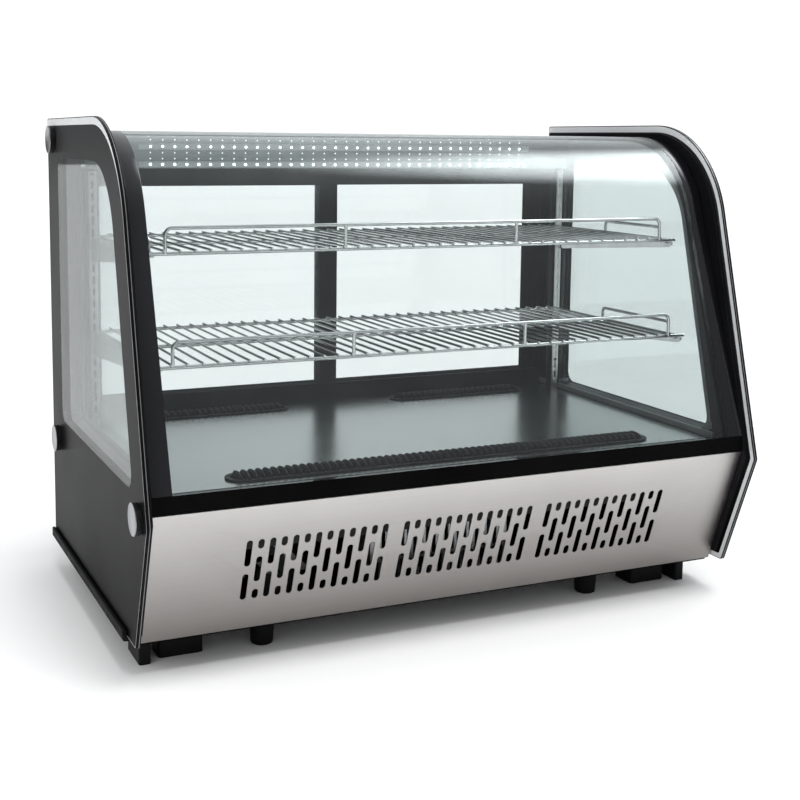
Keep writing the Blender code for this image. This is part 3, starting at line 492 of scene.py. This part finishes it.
def lathe(name, profile, steps, turn, ribs=0, ribbed=(), depth=0.0):
    """A profile of (radius, height) points turned round Z. Rows in ribbed are pushed in between ribs."""
    bm = bmesh.new()
    rows = []
    for index, (radius, height) in enumerate(profile):
        if radius <= 1e-7:
            rows.append([bm.verts.new((0, 0, height))])
            continue
        row = []
        for i in range(steps):
            angle = 2 * math.pi * i / steps
            r = radius
            if ribs and index in ribbed:
                r -= depth * (0.5 - 0.5 * math.cos(angle * ribs))
            row.append(bm.verts.new((r * math.cos(angle), r * math.sin(angle), height)))
        rows.append(row)
    for low, high in zip(rows, rows[1:]):
        for i in range(steps):
            j = (i + 1) % steps
            ring = [low[i % len(low)], low[j % len(low)], high[j % len(high)], high[i % len(high)]]
            corners = []
            for vert in ring:
                if vert not in corners:
                    corners.append(vert)
            if len(corners) > 2:
                bm.faces.new(corners)
    bmesh.ops.transform(bm, matrix=turn, verts=bm.verts)
    return mesh_of(bm, name)


# ---------------------------------------------------------------- outlines, as (y, z)

def front_line(z, inset=0.0):
    slant = UPPER_SLANT if z >= KNEE_Z else LOWER_SLANT
    return FRONT + abs(z - KNEE_Z) * math.tan(slant) + inset / math.cos(slant)


def fillet(points, index, radius, steps=5):
    """The points with the corner at index rounded."""
    corner = Vector(points[index])
    before = (Vector(points[index - 1]) - corner).normalized()
    after = (Vector(points[(index + 1) % len(points)]) - corner).normalized()
    half = before.angle(after) / 2
    reach = radius / math.tan(half)
    centre = corner + (before + after).normalized() * radius / math.sin(half)
    start = corner + before * reach - centre
    end = corner + after * reach - centre
    arc = []
    for i in range(steps + 1):
        spot = start.lerp(end, i / steps).normalized() * radius
        arc.append(tuple(centre + spot))
    return points[:index] + arc + points[index + 1:]


def plate_line(inset=0.0, band=None):
    """The end plate's outline moved in by an inset, or by band(normal) where it varies along the edge."""
    centre_z = HEIGHT - SHOULDER_R
    centre_y = FRONT + (SHOULDER_R + (centre_z - KNEE_Z) * math.sin(UPPER_SLANT)) / math.cos(UPPER_SLANT)
    reach = band or (lambda rise: inset)
    side = reach(0.0)
    rear = REAR - (inset if band is None else BAND_REAR)
    points = [(rear, BOTTOM + side), (rear, HEIGHT - reach(1.0))]
    for i in range(ARC_STEPS + 1):
        turn = (math.pi / 2 - UPPER_SLANT) * i / ARC_STEPS
        radius = SHOULDER_R - reach(math.cos(turn))
        points.append((centre_y - radius * math.sin(turn), centre_z + radius * math.cos(turn)))
    half = (UPPER_SLANT + LOWER_SLANT) / 2
    lean = (UPPER_SLANT - LOWER_SLANT) / 2
    out = side / math.cos(half)
    points.append((FRONT + out * math.cos(lean), KNEE_Z - out * math.sin(lean)))
    points.append((front_line(BOTTOM + side, side), BOTTOM + side))
    points = fillet(points, len(points) - 1, CORNER_R)
    points = fillet(points, ARC_STEPS + 3, KNEE_R)
    points = fillet(points, 1, CORNER_R)
    return fillet(points, 0, CORNER_R)


def outer_band(rise):
    """Width of the silver band on a plate's outer face: wide along the top and narrow down the front."""
    return BAND_SIDE + (BAND_TOP - BAND_SIDE) * max(rise, 0.0) ** 3


def inner_band(rise):
    """The same on its inner face."""
    return BAND_INSIDE + (BAND_TOP - BAND_INSIDE) * max(rise, 0.0) ** 3


def window_line(grow=0.0):
    """The clear window: square at the rear, curved with the shoulder at the front."""
    inset = WINDOW_INSET - grow
    top = WINDOW_TOP + grow
    bottom = WINDOW_BOTTOM - grow
    rear = REAR - WINDOW_REAR + grow
    centre_z = HEIGHT - SHOULDER_R
    centre_y = FRONT + (SHOULDER_R + (centre_z - KNEE_Z) * math.sin(UPPER_SLANT)) / math.cos(UPPER_SLANT)
    radius = SHOULDER_R - inset
    points = [(rear, bottom), (rear, top)]
    first = math.acos(min((top - centre_z) / radius, 1.0))
    for i in range(ARC_STEPS + 1):
        turn = first + (math.pi / 2 - UPPER_SLANT - first) * i / ARC_STEPS
        points.append((centre_y - radius * math.sin(turn), centre_z + radius * math.cos(turn)))
    points.append((front_line(bottom, inset), bottom))
    points = fillet(points, len(points) - 1, WINDOW_R, 8)
    points = fillet(points, 1, WINDOW_R, 8)
    return fillet(points, 0, WINDOW_R, 8)


def glass_line(inset=0.0):
    """The curved glass's section from its rear edge over the shoulder to its foot."""
    centre_z = GLASS_HIGH.z - GLASS_R
    rise = (centre_z - GLASS_LOW.z) * math.sin(GLASS_SLANT)
    centre_y = GLASS_LOW.y + (GLASS_R + rise) / math.cos(GLASS_SLANT)
    radius = GLASS_R - inset
    points = [(GLASS_HIGH.y, GLASS_HIGH.z - inset)]
    for i in range(ARC_STEPS + 1):
        turn = (math.pi / 2 - GLASS_SLANT) * i / ARC_STEPS
        points.append((centre_y - radius * math.sin(turn), centre_z + radius * math.cos(turn)))
    points.append((GLASS_LOW.y + inset / math.cos(GLASS_SLANT), GLASS_LOW.z))
    return points


def capsule(x0, x1, y, half, steps=10):
    """A slot's outline with round ends along x."""
    points = []
    for centre, start in ((x1 - half, -0.5), (x0 + half, 0.5)):
        for i in range(steps + 1):
            turn = math.pi * (start + i / steps)
            points.append((centre + half * math.cos(turn), y + half * math.sin(turn)))
    return points


# ---------------------------------------------------------------- pieces

def end_plates():
    """Each end: a dark print with a silver band round it, a black rim with a thin stripe, and a window.

    The band is narrower on the plate's outer half than on the inner half behind it.
    """
    outline = plate_line(RIM)
    window = window_line()
    printed = plate_line(band=outer_band)
    behind = plate_line(band=inner_band)
    for side, sign in SIDES:
        out, mid, inner = sign * PLATE_OUT, sign * (PLATE_OUT + PLATE_IN) / 2, sign * PLATE_IN
        node = [f"end_glass_{side}"]
        halves = [flat("print", [printed, window], mid, out), flat("backing", [behind, window], inner, mid)]
        mesh = one_slot(join("print", halves))
        piece(f"end_print_{side}", mesh, PRINT, hides=node)
        halves = [flat("band", [outline, printed], mid, out), flat("band", [outline, behind], inner, mid)]
        mesh = one_slot(join("band", halves))
        piece(f"end_band_{side}", mesh, SILVER, hides=node)
        mesh = flat("rim", [plate_line(0), outline], inner, out, edge=SEAM)
        piece(f"end_rim_{side}", mesh, EDGE, hides=node)
        line = inner + sign * STRIPE_IN
        edges = [plate_line(-STRIPE_PROUD), plate_line(STRIPE_DEEP)]
        mesh = flat("stripe", edges, line, line + sign * STRIPE_W)
        piece(f"end_stripe_{side}", mesh, PINSTRIPE, hides=node)
        mesh = flat("window", [window], inner, out)
        piece(f"end_window_{side}", mesh, WINDOW_GLASS, hides=node)


def caps():
    """Stand-off caps: a spun disc over a ribbed barrel."""
    barrel_line = [(0, 0), (0.0172, 0), (0.0172, 0.0010), (0.0193, 0.0013), (0.0193, 0.0040)]
    barrel_line += [(0.0178, 0.0043), (0.0178, 0.0048), (0.0193, 0.0051), (0.0193, 0.0070)]
    barrel_line += [(0.0180, 0.0073), (0, 0.0073)]
    ribbed = (3, 4, 7, 8)
    disc = [(0, 0.0070), (0.0170, 0.0070), (0.0170, 0.0074), (0.0198, 0.0076), (0.0200, 0.0079)]
    disc += [(0.0200, 0.0084), (0.0196, 0.0089), (0.0188, 0.0090), (0.0184, 0.0088), (0, 0.00885)]
    for side, sign in SIDES:
        for spot in ("top", "rear", "front"):
            node = f"cap_{spot}_{side}"
            low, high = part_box(node)
            seat = (low.x if sign > 0 else high.x, (low.y + high.y) / 2, (low.z + high.z) / 2)
            turn = Matrix.Translation(seat) @ Matrix.Rotation(sign * math.pi / 2, 4, "Y")
            barrel = lathe("barrel", barrel_line, CAP_RIBS * 4, turn, CAP_RIBS, ribbed, CAP_RIB_DEPTH)
            mesh = join("cap", [barrel, lathe("disc", disc, 96, turn)])
            piece(f"{node}_turned", mesh, [BARREL, SPUN], hides=[node])


def front_glass():
    """The bent pane, with a glossy black border printed down each side."""
    section = glass_line() + glass_line(GLASS_T)[::-1]
    half = GLASS_HIGH.x
    node = ["front_glass"]
    pane = flat("pane", [section], -half + BORDER, half - BORDER)
    piece("front_pane", pane, FRONT_GLASS, hides=node)
    for side, sign in SIDES:
        border = flat("border", [section], sign * (half - BORDER), sign * half, edge=0.0005)
        piece(f"front_border_{side}", border, BORDER_PRINT, hides=node)


def slots():
    """Slot outlines as (x, distance down the panel)."""
    outlines = []
    radius = SLOT_W / 2
    for group in (-1, 0, 1):
        first = (group * SLOT_GROUP_STEP - (SLOT_COLUMNS - 1) / 2) * SLOT_PITCH
        for column in range(SLOT_COLUMNS):
            x = first + column * SLOT_PITCH
            for start, end in SLOT_RUNS_B if column % 2 else SLOT_RUNS_A:
                turned = capsule(start, end, 0, radius, 8)
                outlines.append([(x + across, down) for down, across in turned])
    return outlines


def front_panel():
    """The slotted steel panel, with lips turned in at its edges."""
    half = PANEL_HIGH.x - SEAM
    top = Vector((PANEL_LOW.y, PANEL_HIGH.z))
    low = Vector((front_line(PANEL_LOW.z) + (PANEL_LOW.y - FRONT), PANEL_LOW.z))
    down = (low - top).normalized()
    long = (low - top).length
    face = Matrix(((1, 0, 0, 0), (0, down.x, -down.y, top.x), (0, down.y, down.x, top.y), (0, 0, 0, 1)))
    sign = 1 if face.to_3x3().col[2].y > 0 else -1
    rect = [(-half, 0), (half, 0), (half, long), (-half, long)]
    sheet = flat("sheet", [rect, *slots()], 0, sign * SHEET, face, edge=0.0003)
    parts = [sheet]
    for start, end in ((0, SHEET), (long - SHEET, long)):
        line = [(-half, start), (half, start), (half, end), (-half, end)]
        parts.append(flat("lip", [line], sign * SHEET * 0.6, sign * LIP, face))
    for side in (-1, 1):
        line = [(side * half, SHEET), (side * (half - SHEET), SHEET), (side * (half - SHEET), long - SHEET)]
        line.append((side * half, long - SHEET))
        parts.append(flat("return", [line], sign * SHEET * 0.6, sign * LIP * 0.8, face))
    mesh = one_slot(join("panel", parts))
    piece("front_panel_sheet", mesh, PANEL, hides=["front_panel"], sharp=PANEL_SHARP)


def bend(start, corner, end, radius, steps=6):
    """Points round a corner between two straight runs."""
    start, corner, end = Vector(start), Vector(corner), Vector(end)
    first = (start - corner).normalized() * radius
    second = (end - corner).normalized() * radius
    points = []
    for i in range(steps + 1):
        turn = math.pi / 2 * i / steps
        points.append(tuple(corner + first * (1 - math.sin(turn)) + second * (1 - math.cos(turn))))
    return points


def rail(a, b, c, d, radius):
    """A wire from a up to b, along to c and down to d, with round bends."""
    return [a, *bend(a, b, c, radius), *bend(b, c, d, radius), d]


def shelves():
    """Wire shelves: thin wires over rods, a front guard on posts and a low guard at each side."""
    half = SHELF_W / 2
    for level in ("lower", "upper"):
        node_low, node_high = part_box(f"shelf_{level}")
        low = node_low.z + ROD_R
        top = low + ROD_R + WIRE_R - WIRE_SUNK
        front = node_low.y + ROD_FRONT
        back = node_high.y - ROD_BACK
        tip = node_high.x
        pitch = (SHELF_W - 2 * WIRE_INSET) / (WIRES - 1)
        places = [-half + WIRE_INSET + i * pitch for i in range(WIRES)]
        runs = [[(x, front - ROD_FRONT, top), (x, back + ROD_BACK, top)] for x in places]
        rods = [[(-tip, front, low), (tip, front, low)]]
        rods += [[(-half, y, low), (half, y, low)] for y in ((front + back) / 2, back)]
        rods += [[(side * (half - ROD_TUCK), y, low) for y in (front, back)] for side in (-1, 1)]
        y = front - ROD_TUCK
        high = low + GUARD_H
        x = half - GUARD_INSET
        guards = [rail((-x, y, low), (-x, y, high), (x, y, high), (x, y, low), GUARD_BEND)]
        guards += [[(side * SHELF_W / 6, front, low), (side * SHELF_W / 6, y, high)] for side in (-1, 1)]
        for side in (-1, 1):
            x = side * (half - ROD_TUCK)
            near, far = front + SIDE_GUARD_START, SIDE_GUARD_END
            high = top + SIDE_GUARD_H
            corners = [(x, near, low), (x, near, high), (x, far, high), (x, far, low)]
            guards.append(rail(*corners, SIDE_GUARD_BEND))
        meshes = [wires("runs", runs, WIRE_R, 10), wires("rods", rods, ROD_R, 14)]
        meshes.append(wires("guards", guards, ROD_R * 0.95, 14))
        mesh = one_slot(join("shelf", meshes))
        piece(f"shelf_{level}_wire", mesh, NICKEL, hides=[f"shelf_{level}"])


def grilles():
    """Air grilles: a flat oval rim with a row of arched ribs over the opening."""
    for spot in ("front", "rear_left", "rear_right"):
        low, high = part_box(f"air_grille_{spot}")
        y = (low.y + high.y) / 2
        half = (high.y - low.y) / 2
        base = low.z
        edge = capsule(low.x, high.x, y, half, 16)
        hole = capsule(low.x + GRILLE_RIM_W, high.x - GRILLE_RIM_W, y, half - GRILLE_RIM_W, 16)
        rim = flat("rim", [edge, hole], base, base + GRILLE_RIM_T, Matrix(), edge=0.0005)
        count = int((high.x - low.x - half) / RIB_PITCH)
        first = (low.x + high.x) / 2 - (count - 1) / 2 * RIB_PITCH
        bm = bmesh.new()
        for i in range(count):
            x = first + i * RIB_PITCH
            reach = half - 0.005
            past = abs(x - (low.x + high.x) / 2) - ((high.x - low.x) / 2 - half)
            if past > 0:
                reach = math.sqrt(max(reach ** 2 - past ** 2, 0))
            add_rib(bm, x, y, reach, base)
        mesh = one_slot(join("grille", [rim, mesh_of(bm, "ribs")]))
        piece(f"grille_{spot}_ribbed", mesh, RIBBED, hides=[f"air_grille_{spot}"])


def add_rib(bm, x, y, reach, base, steps=12, around=8):
    """One rib: a half arch across the grille, fat in the middle and drawn to a point at its ends."""
    rows = []
    for i in range(steps + 1):
        turn = math.pi * i / steps
        across = -reach * math.cos(turn)
        swell = math.sin(turn) ** 0.6
        row = []
        for j in range(around + 1):
            lean = math.pi * j / around
            wide = RIB_TIP_HALF + RIB_HALF * swell
            high = RIB_TIP_HIGH + (RIB_HIGH - RIB_TIP_HIGH - RIB_BASE) * swell
            z = base + RIB_BASE + high * math.sin(lean)
            row.append(bm.verts.new((x - wide * math.cos(lean), y + across, z)))
        rows.append(row)
    for a, b in zip(rows, rows[1:]):
        for j in range(around):
            bm.faces.new((a[j], a[j + 1], b[j + 1], b[j]))
        bm.faces.new((a[around], a[0], b[0], b[around]))
    bm.faces.new(rows[0])
    bm.faces.new(rows[-1][::-1])


def lamps():
    """The strip on the sloped canopy: two boards of bright chips, and faint painted glints between and above,
    glowing dots with no lamp.
    """
    low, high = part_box("led_diffuser")
    top = Vector((low.y + LENS_T, high.z))
    foot = Vector((high.y, low.z))
    down = (foot - top).normalized()
    out = Vector((down.y, -down.x))
    turn = Matrix(((1, 0, 0, 0), (0, down.x, out.x, top.x), (0, down.y, out.y, top.y), (0, 0, 0, 1)))
    long = (foot - top).length
    half = LED_HALF + BOARD_PAST
    count = int(round(2 * LED_HALF / LED_PITCH)) + 1
    boards = []
    for share in [share for share, _, shines in LED_ROWS if shines]:
        near, far = long * share - BOARD_HALF, long * share + BOARD_HALF
        line = [(-half, near), (half, near), (half, far), (-half, far)]
        boards.append(flat("board", [line], 0.0002, 0.0012, turn, edge=0.0002))
    mesh = one_slot(join("boards", boards))
    piece("led_boards", mesh, BOARD, hides=["led_diffuser"])
    kinds = (("led_chips", LED, True, 0.0011), ("led_glints", LED_GLINT_GLOW, False, 0.0002))
    for name, mat, bright, lift in kinds:
        chips = []
        for share, radius, shines in LED_ROWS:
            if shines != bright:
                continue
            dome = [(0, 0), (radius, 0), (radius, radius * 0.35), (radius * 0.8, radius * 0.62)]
            dome.append((0, radius * 0.75))
            for i in range(count):
                x = -LED_HALF + i * 2 * LED_HALF / (count - 1)
                chips.append(lathe("chip", dome, 12, turn @ Matrix.Translation((x, long * share, lift))))
        mesh = one_slot(join(name, chips))
        piece(name, mesh, mat, hides=["led_diffuser"])


def feet():
    """Round rubber feet, ribbed round the side, with a rounded sole."""
    for end in ("front", "rear"):
        for side, _ in SIDES:
            node = f"rubber_foot_{end}_{side}"
            low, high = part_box(node)
            radius = (high.x - low.x) / 2
            profile = [(0, 0.0004), (radius * 0.5, 0.0004), (radius * 0.55, 0), (radius * 0.74, 0)]
            profile += [(radius * 0.84, 0.0012), (radius * 0.88, 0.004), (radius * 0.90, 0.010)]
            profile += [(radius * 0.98, high.z - 0.006), (radius, high.z - 0.005)]
            profile += [(radius, high.z), (0, high.z)]
            turn = Matrix.Translation(((low.x + high.x) / 2, (low.y + high.y) / 2, low.z))
            mesh = lathe("foot", profile, 96, turn, 24, (6, 7), 0.0006)
            piece(f"foot_{end}_{side}", mesh, RUBBER, hides=[node])


def pilasters():
    """Slotted shelf rails: a silver channel with a slot for each bracket place, on a black strip."""
    across = Matrix(((1, 0, 0, 0), (0, 0, -1, 0), (0, 1, 0, 0), (0, 0, 0, 1)))
    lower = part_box("bracket_lower_left")[1].z
    step = (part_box("bracket_upper_left")[1].z - lower) / BRACKET_STEPS
    first = lower - HOOK_DROP
    for side, sign in SIDES:
        low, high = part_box(f"pilaster_{side}")
        hook_low, hook_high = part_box(f"bracket_lower_{side}")
        x = sign * (max(abs(hook_low.x), abs(hook_high.x)) - 0.0009)
        places = [first + i * step for i in range(-BRACKET_STEPS, 2 * BRACKET_STEPS)]
        places = [z for z in places if low.z + RAIL_MARGIN < z < high.z - RAIL_MARGIN]
        holes = []
        for z in places:
            turned = capsule(z - RAIL_SLOT_HALF, z + RAIL_SLOT_HALF, 0, RAIL_SLOT_R, 4)
            holes.append([(x + side_way, along) for along, side_way in turned])
        left, right = x - RAIL_HALF, x + RAIL_HALF
        face = [(left, low.z), (right, low.z), (right, high.z), (left, high.z)]
        plate = flat("plate", [face, *holes], -low.y - RAIL_SHEET, -low.y, across, edge=0.0003)
        cheeks = []
        for near, far in ((left, left + RAIL_CHEEK), (right - RAIL_CHEEK, right)):
            corner = (near, low.y + RAIL_SHEET / 2, low.z)
            cheeks.append(rounded_box("cheek", corner, (far, high.y, high.z), 0.0003, 1))
        mesh = one_slot(join("rail", [plate, *cheeks]))
        piece(f"pilaster_{side}_rail", mesh, STEEL, hides=[f"pilaster_{side}"])
        strips = []
        for start, end in ((low.x, left - RAIL_GAP), (right + RAIL_GAP, high.x)):
            corner = (start, low.y + 0.0015, low.z)
            strips.append(rounded_box("strip", corner, (end, high.y, high.z), 0.0005, 2))
        strip = one_slot(join("strip", strips))
        piece(f"pilaster_{side}_cover", strip, MOULDING, hides=[f"pilaster_{side}"])


def screw(x, y, z, axis, radius=SCREW_R):
    """A pan-head screw with a dimple in its head, facing along axis."""
    aim = Vector(axis).to_track_quat("Z", "X").to_matrix().to_4x4()
    turn = Matrix.Translation((x, y, z)) @ aim
    dome = [(0, 0), (radius, 0), (radius * 0.97, radius * 0.25), (radius * 0.75, radius * 0.5)]
    dome += [(radius * 0.42, radius * 0.6), (radius * 0.30, radius * 0.22), (0, radius * 0.10)]
    return lathe("screw", dome, 24, turn)


def screws():
    """Screws that hold the shelf rails and the back panel."""
    found = []
    low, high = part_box("pilaster_right")
    for _, sign in SIDES:
        x = sign * (low.x + high.x) / 2
        for z in (low.z + 0.0500, high.z - 0.0040):
            found.append(screw(x, low.y - 0.0001, z, (0, -1, 0), RAIL_SCREW_R))
    low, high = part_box("rear_panel")
    for x in PANEL_SCREWS:
        for z in (low.z + PANEL_SCREW_IN, high.z - PANEL_SCREW_IN):
            found.append(screw(x, high.y + 0.0001, z, (0, 1, 0)))
    piece("screws", one_slot(join("screws", found)), NICKEL)


def trims():
    """A grey bead where the deck meets each end, and the seal round each end window's inner pane."""
    deck_low, deck_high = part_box("deck_pan")
    for side, sign in SIDES:
        x = sign * (INSIDE - BEAD_W)
        low = (min(x, sign * (INSIDE + 0.0001)), deck_low.y + 0.004, DECK + 0.0001)
        high = (max(x, sign * (INSIDE + 0.0001)), deck_high.y - 0.001, DECK + BEAD_H)
        piece(f"deck_bead_{side}", rounded_box("bead", low, high, 0.0018), GASKET)
        start = sign * (INSIDE + 0.0001)
        edges = [window_line(SEAL_OUT), window_line(-SEAL_IN)]
        ring = flat("seal", edges, start, start + sign * SEAL_T, edge=0.0004)
        piece(f"window_seal_{side}", ring, GASKET)


def soften(node, width, segments=2):
    """Rounded edges on a CAD node, by modifiers."""
    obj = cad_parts[node]
    weld = obj.modifiers.new("Weld", "WELD")
    weld.merge_threshold = 0.00002
    bevel = obj.modifiers.new("Edges", "BEVEL")
    bevel.width = width
    bevel.segments = segments
    bevel.limit_method = "ANGLE"
    bevel.angle_limit = math.radians(30)
    bevel.use_clamp_overlap = True


def paint(mat, *names):
    for name in names:
        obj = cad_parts[name]
        obj.data.materials.clear()
        obj.data.materials.append(mat)


def finishes():
    """Materials for the CAD nodes that stay, and softer edges where they show."""
    both = ("left", "right")
    paint(MOULDING, "evaporator_fan_frame")
    paint(MOULDING, *[f"{part}_{s}" for part in ("side_frame", "corner_foot") for s in both])
    paint(WINDOW_GLASS, *[f"side_pane_{s}" for s in both])
    paint(DOOR_GLASS, *[f"door_glass_{s}" for s in both])
    paint(ENAMEL, "front_sill", "base_pan", "fan_shroud", "compressor")
    paint(ANODISED, "rear_frame", *[f"door_frame_{s}" for s in both])
    paint(STEEL, "top_cover", "rear_panel")
    paint(CANOPY, "led_channel")
    paint(DECK_STEEL, "deck_pan")
    paint(TUB_SHELL, "insulated_tub")
    paint(LINER, "electrical_box")
    paint(RUBBER, *[f"skid_strip_{s}" for s in both])
    paint(NICKEL, *[f"bracket_{level}_{s}" for level in ("lower", "upper") for s in both])
    paint(FINS, "condenser_coil", "evaporator_coil")
    paint(COPPER, "refrigerant_line")
    paint(RIBBED, "condenser_fan", "evaporator_fan", "power_inlet", "thermostat_knob", "lamp_switch")
    paint(SWITCH_RED, "power_switch")
    for name in ("front_sill", "rear_frame", "top_cover", "led_channel"):
        soften(name, 0.0006)
    for side in both:
        soften(f"side_frame_{side}", 0.0006)
        soften(f"door_frame_{side}", 0.0007)
        soften(f"corner_foot_{side}", 0.0012)
        soften(f"skid_strip_{side}", 0.0010, 3)
        for level in ("lower", "upper"):
            soften(f"bracket_{level}_{side}", 0.0003)
    for name in ("power_switch", "lamp_switch", "power_inlet"):
        soften(name, 0.0004)


# ---------------------------------------------------------------- room, lights and camera

def room():
    """A pale floor, a white room and a soft studio."""
    mesh = bpy.data.meshes.new("floor")
    bm = bmesh.new()
    bmesh.ops.create_grid(bm, x_segments=2, y_segments=2, size=30.0)
    bm.to_mesh(mesh)
    bm.free()
    floor = bpy.data.objects.new("floor", mesh)
    bpy.context.scene.collection.objects.link(floor)
    mat, shader = surface("floor", (0.93, 0.93, 0.93), 0.65)
    link(mat, shader, Base_Color=tint(mat, grain(mat, 0.7), (0.93, 0.93, 0.93), (0.915, 0.915, 0.915)))
    mesh.materials.append(mat)
    studio()


def studio():
    """White where it's seen, even where it lights, and uneven in reflections.

    Reflections are darker to the left and the front, brighter above, and hold one large soft box.
    """
    world = bpy.data.worlds.new("studio")
    bpy.context.scene.world = world
    world.use_nodes = True
    tree = world.node_tree
    tree.nodes.clear()

    def node(kind, links, **values):
        made = tree.nodes.new("ShaderNode" + kind)
        for key, value in values.items():
            made.inputs[key.replace("_", " ")].default_value = value
        for key, socket in links.items():
            tree.links.new(socket, made.inputs[key])
        return made

    def ramp(value, start, end, low, high):
        return node("MapRange", {"Value": value}, From_Min=start, From_Max=end, To_Min=low, To_Max=high)

    place = tree.nodes.new("ShaderNodeTexCoord").outputs["Generated"]
    axes = node("SeparateXYZ", {0: place})
    across = ramp(axes.outputs["X"], -0.35, 0.35, 0.10, 0.90)
    ahead = ramp(axes.outputs["Y"], -0.6, 0.4, 0.35, 1.0)
    above = ramp(axes.outputs["Z"], 0.25, 0.9, 0.0, 0.45)
    level = node("Math", {0: across.outputs[0], 1: ahead.outputs[0]})
    level.operation = "MULTIPLY"
    total = node("Math", {0: level.outputs[0], 1: above.outputs[0]})
    # The soft box, high on the right
    aim = tree.nodes.new("ShaderNodeVectorMath")
    aim.operation = "DOT_PRODUCT"
    tree.links.new(place, aim.inputs[0])
    aim.inputs[1].default_value = SOFT_BOX
    glow = ramp(aim.outputs["Value"], SOFT_BOX_EDGE, 1.0, 0.0, SOFT_BOX_GLOW)
    glow.interpolation_type = "SMOOTHSTEP"
    total = node("Math", {0: total.outputs[0], 1: glow.outputs[0]})
    mirrored = node("Background", {"Strength": total.outputs[0]}, Color=(0.95, 0.98, 1.0, 1))
    soft = node("Background", {}, Color=(0.98, 0.99, 1.0, 1), Strength=0.74)
    seen = node("Background", {}, Color=(1, 1, 1, 1), Strength=1.1)
    path = tree.nodes.new("ShaderNodeLightPath")
    first = node("MixShader", {0: path.outputs["Is Glossy Ray"], 1: soft.outputs[0], 2: mirrored.outputs[0]})
    last = node("MixShader", {0: path.outputs["Is Camera Ray"], 1: first.outputs[0], 2: seen.outputs[0]})
    end = tree.nodes.new("ShaderNodeOutputWorld")
    tree.links.new(last.outputs[0], end.inputs["Surface"])


def lamp(name, place, aim, size, power, colour=(1, 1, 1)):
    light = bpy.data.lights.new(name, "AREA")
    light.shape = "RECTANGLE"
    light.size, light.size_y = size
    light.energy = power
    light.color = colour
    obj = bpy.data.objects.new(name, light)
    obj.location = place
    obj.rotation_euler = (Vector(aim) - Vector(place)).to_track_quat("-Z", "Y").to_euler()
    obj.visible_glossy = False
    bpy.context.scene.collection.objects.link(obj)


def lights():
    """A high, soft sun from the front, a weak fill from the left, and the case's own strip."""
    sun = bpy.data.lights.new("sun", "SUN")
    sun.energy = SUN_POWER
    sun.angle = SUN_ANGLE
    obj = bpy.data.objects.new("sun", sun)
    obj.rotation_euler = SUN_FROM.to_track_quat("Z", "Y").to_euler()
    obj.visible_glossy = False
    bpy.context.scene.collection.objects.link(obj)
    lamp("fill", FILL_PLACE, FILL_AIM, FILL_SIZE, FILL_POWER)
    low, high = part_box("led_diffuser")
    place = (0.0, high.y - 0.006, low.z - 0.002)
    lamp("strip", place, (0.0, -0.12, DECK), (2 * LED_HALF, STRIP_WIDE), STRIP_POWER, STRIP_COLOUR)


def camera():
    """The viewpoint: in front of the left end, just below the height of the case's top."""
    yaw, pitch, roll = (math.radians(angle) for angle in CAMERA_TURN)
    ahead = Vector((-math.sin(yaw) * math.cos(pitch), math.cos(yaw) * math.cos(pitch), -math.sin(pitch)))
    right = Vector((math.cos(yaw), math.sin(yaw), 0))
    up = right.cross(ahead)
    tilted = right * math.cos(roll) + up * math.sin(roll)
    upright = -right * math.sin(roll) + up * math.cos(roll)
    data = bpy.data.cameras.new("camera")
    data.sensor_width = 36.0
    data.lens = CAMERA_LENS * data.sensor_width
    data.shift_x, data.shift_y = CAMERA_SHIFT
    data.clip_start = 0.05
    data.clip_end = 100.0
    obj = bpy.data.objects.new("camera", data)
    obj.matrix_world = Matrix((tilted, upright, -ahead)).transposed().to_4x4()
    obj.matrix_world.translation = CAMERA_PLACE
    bpy.context.scene.collection.objects.link(obj)
    bpy.context.scene.camera = obj


end_plates()
caps()
front_glass()
front_panel()
shelves()
grilles()
lamps()
feet()
pilasters()
screws()
trims()
finishes()
room()
lights()
camera()
bpy.context.scene.view_settings.view_transform = "Standard"
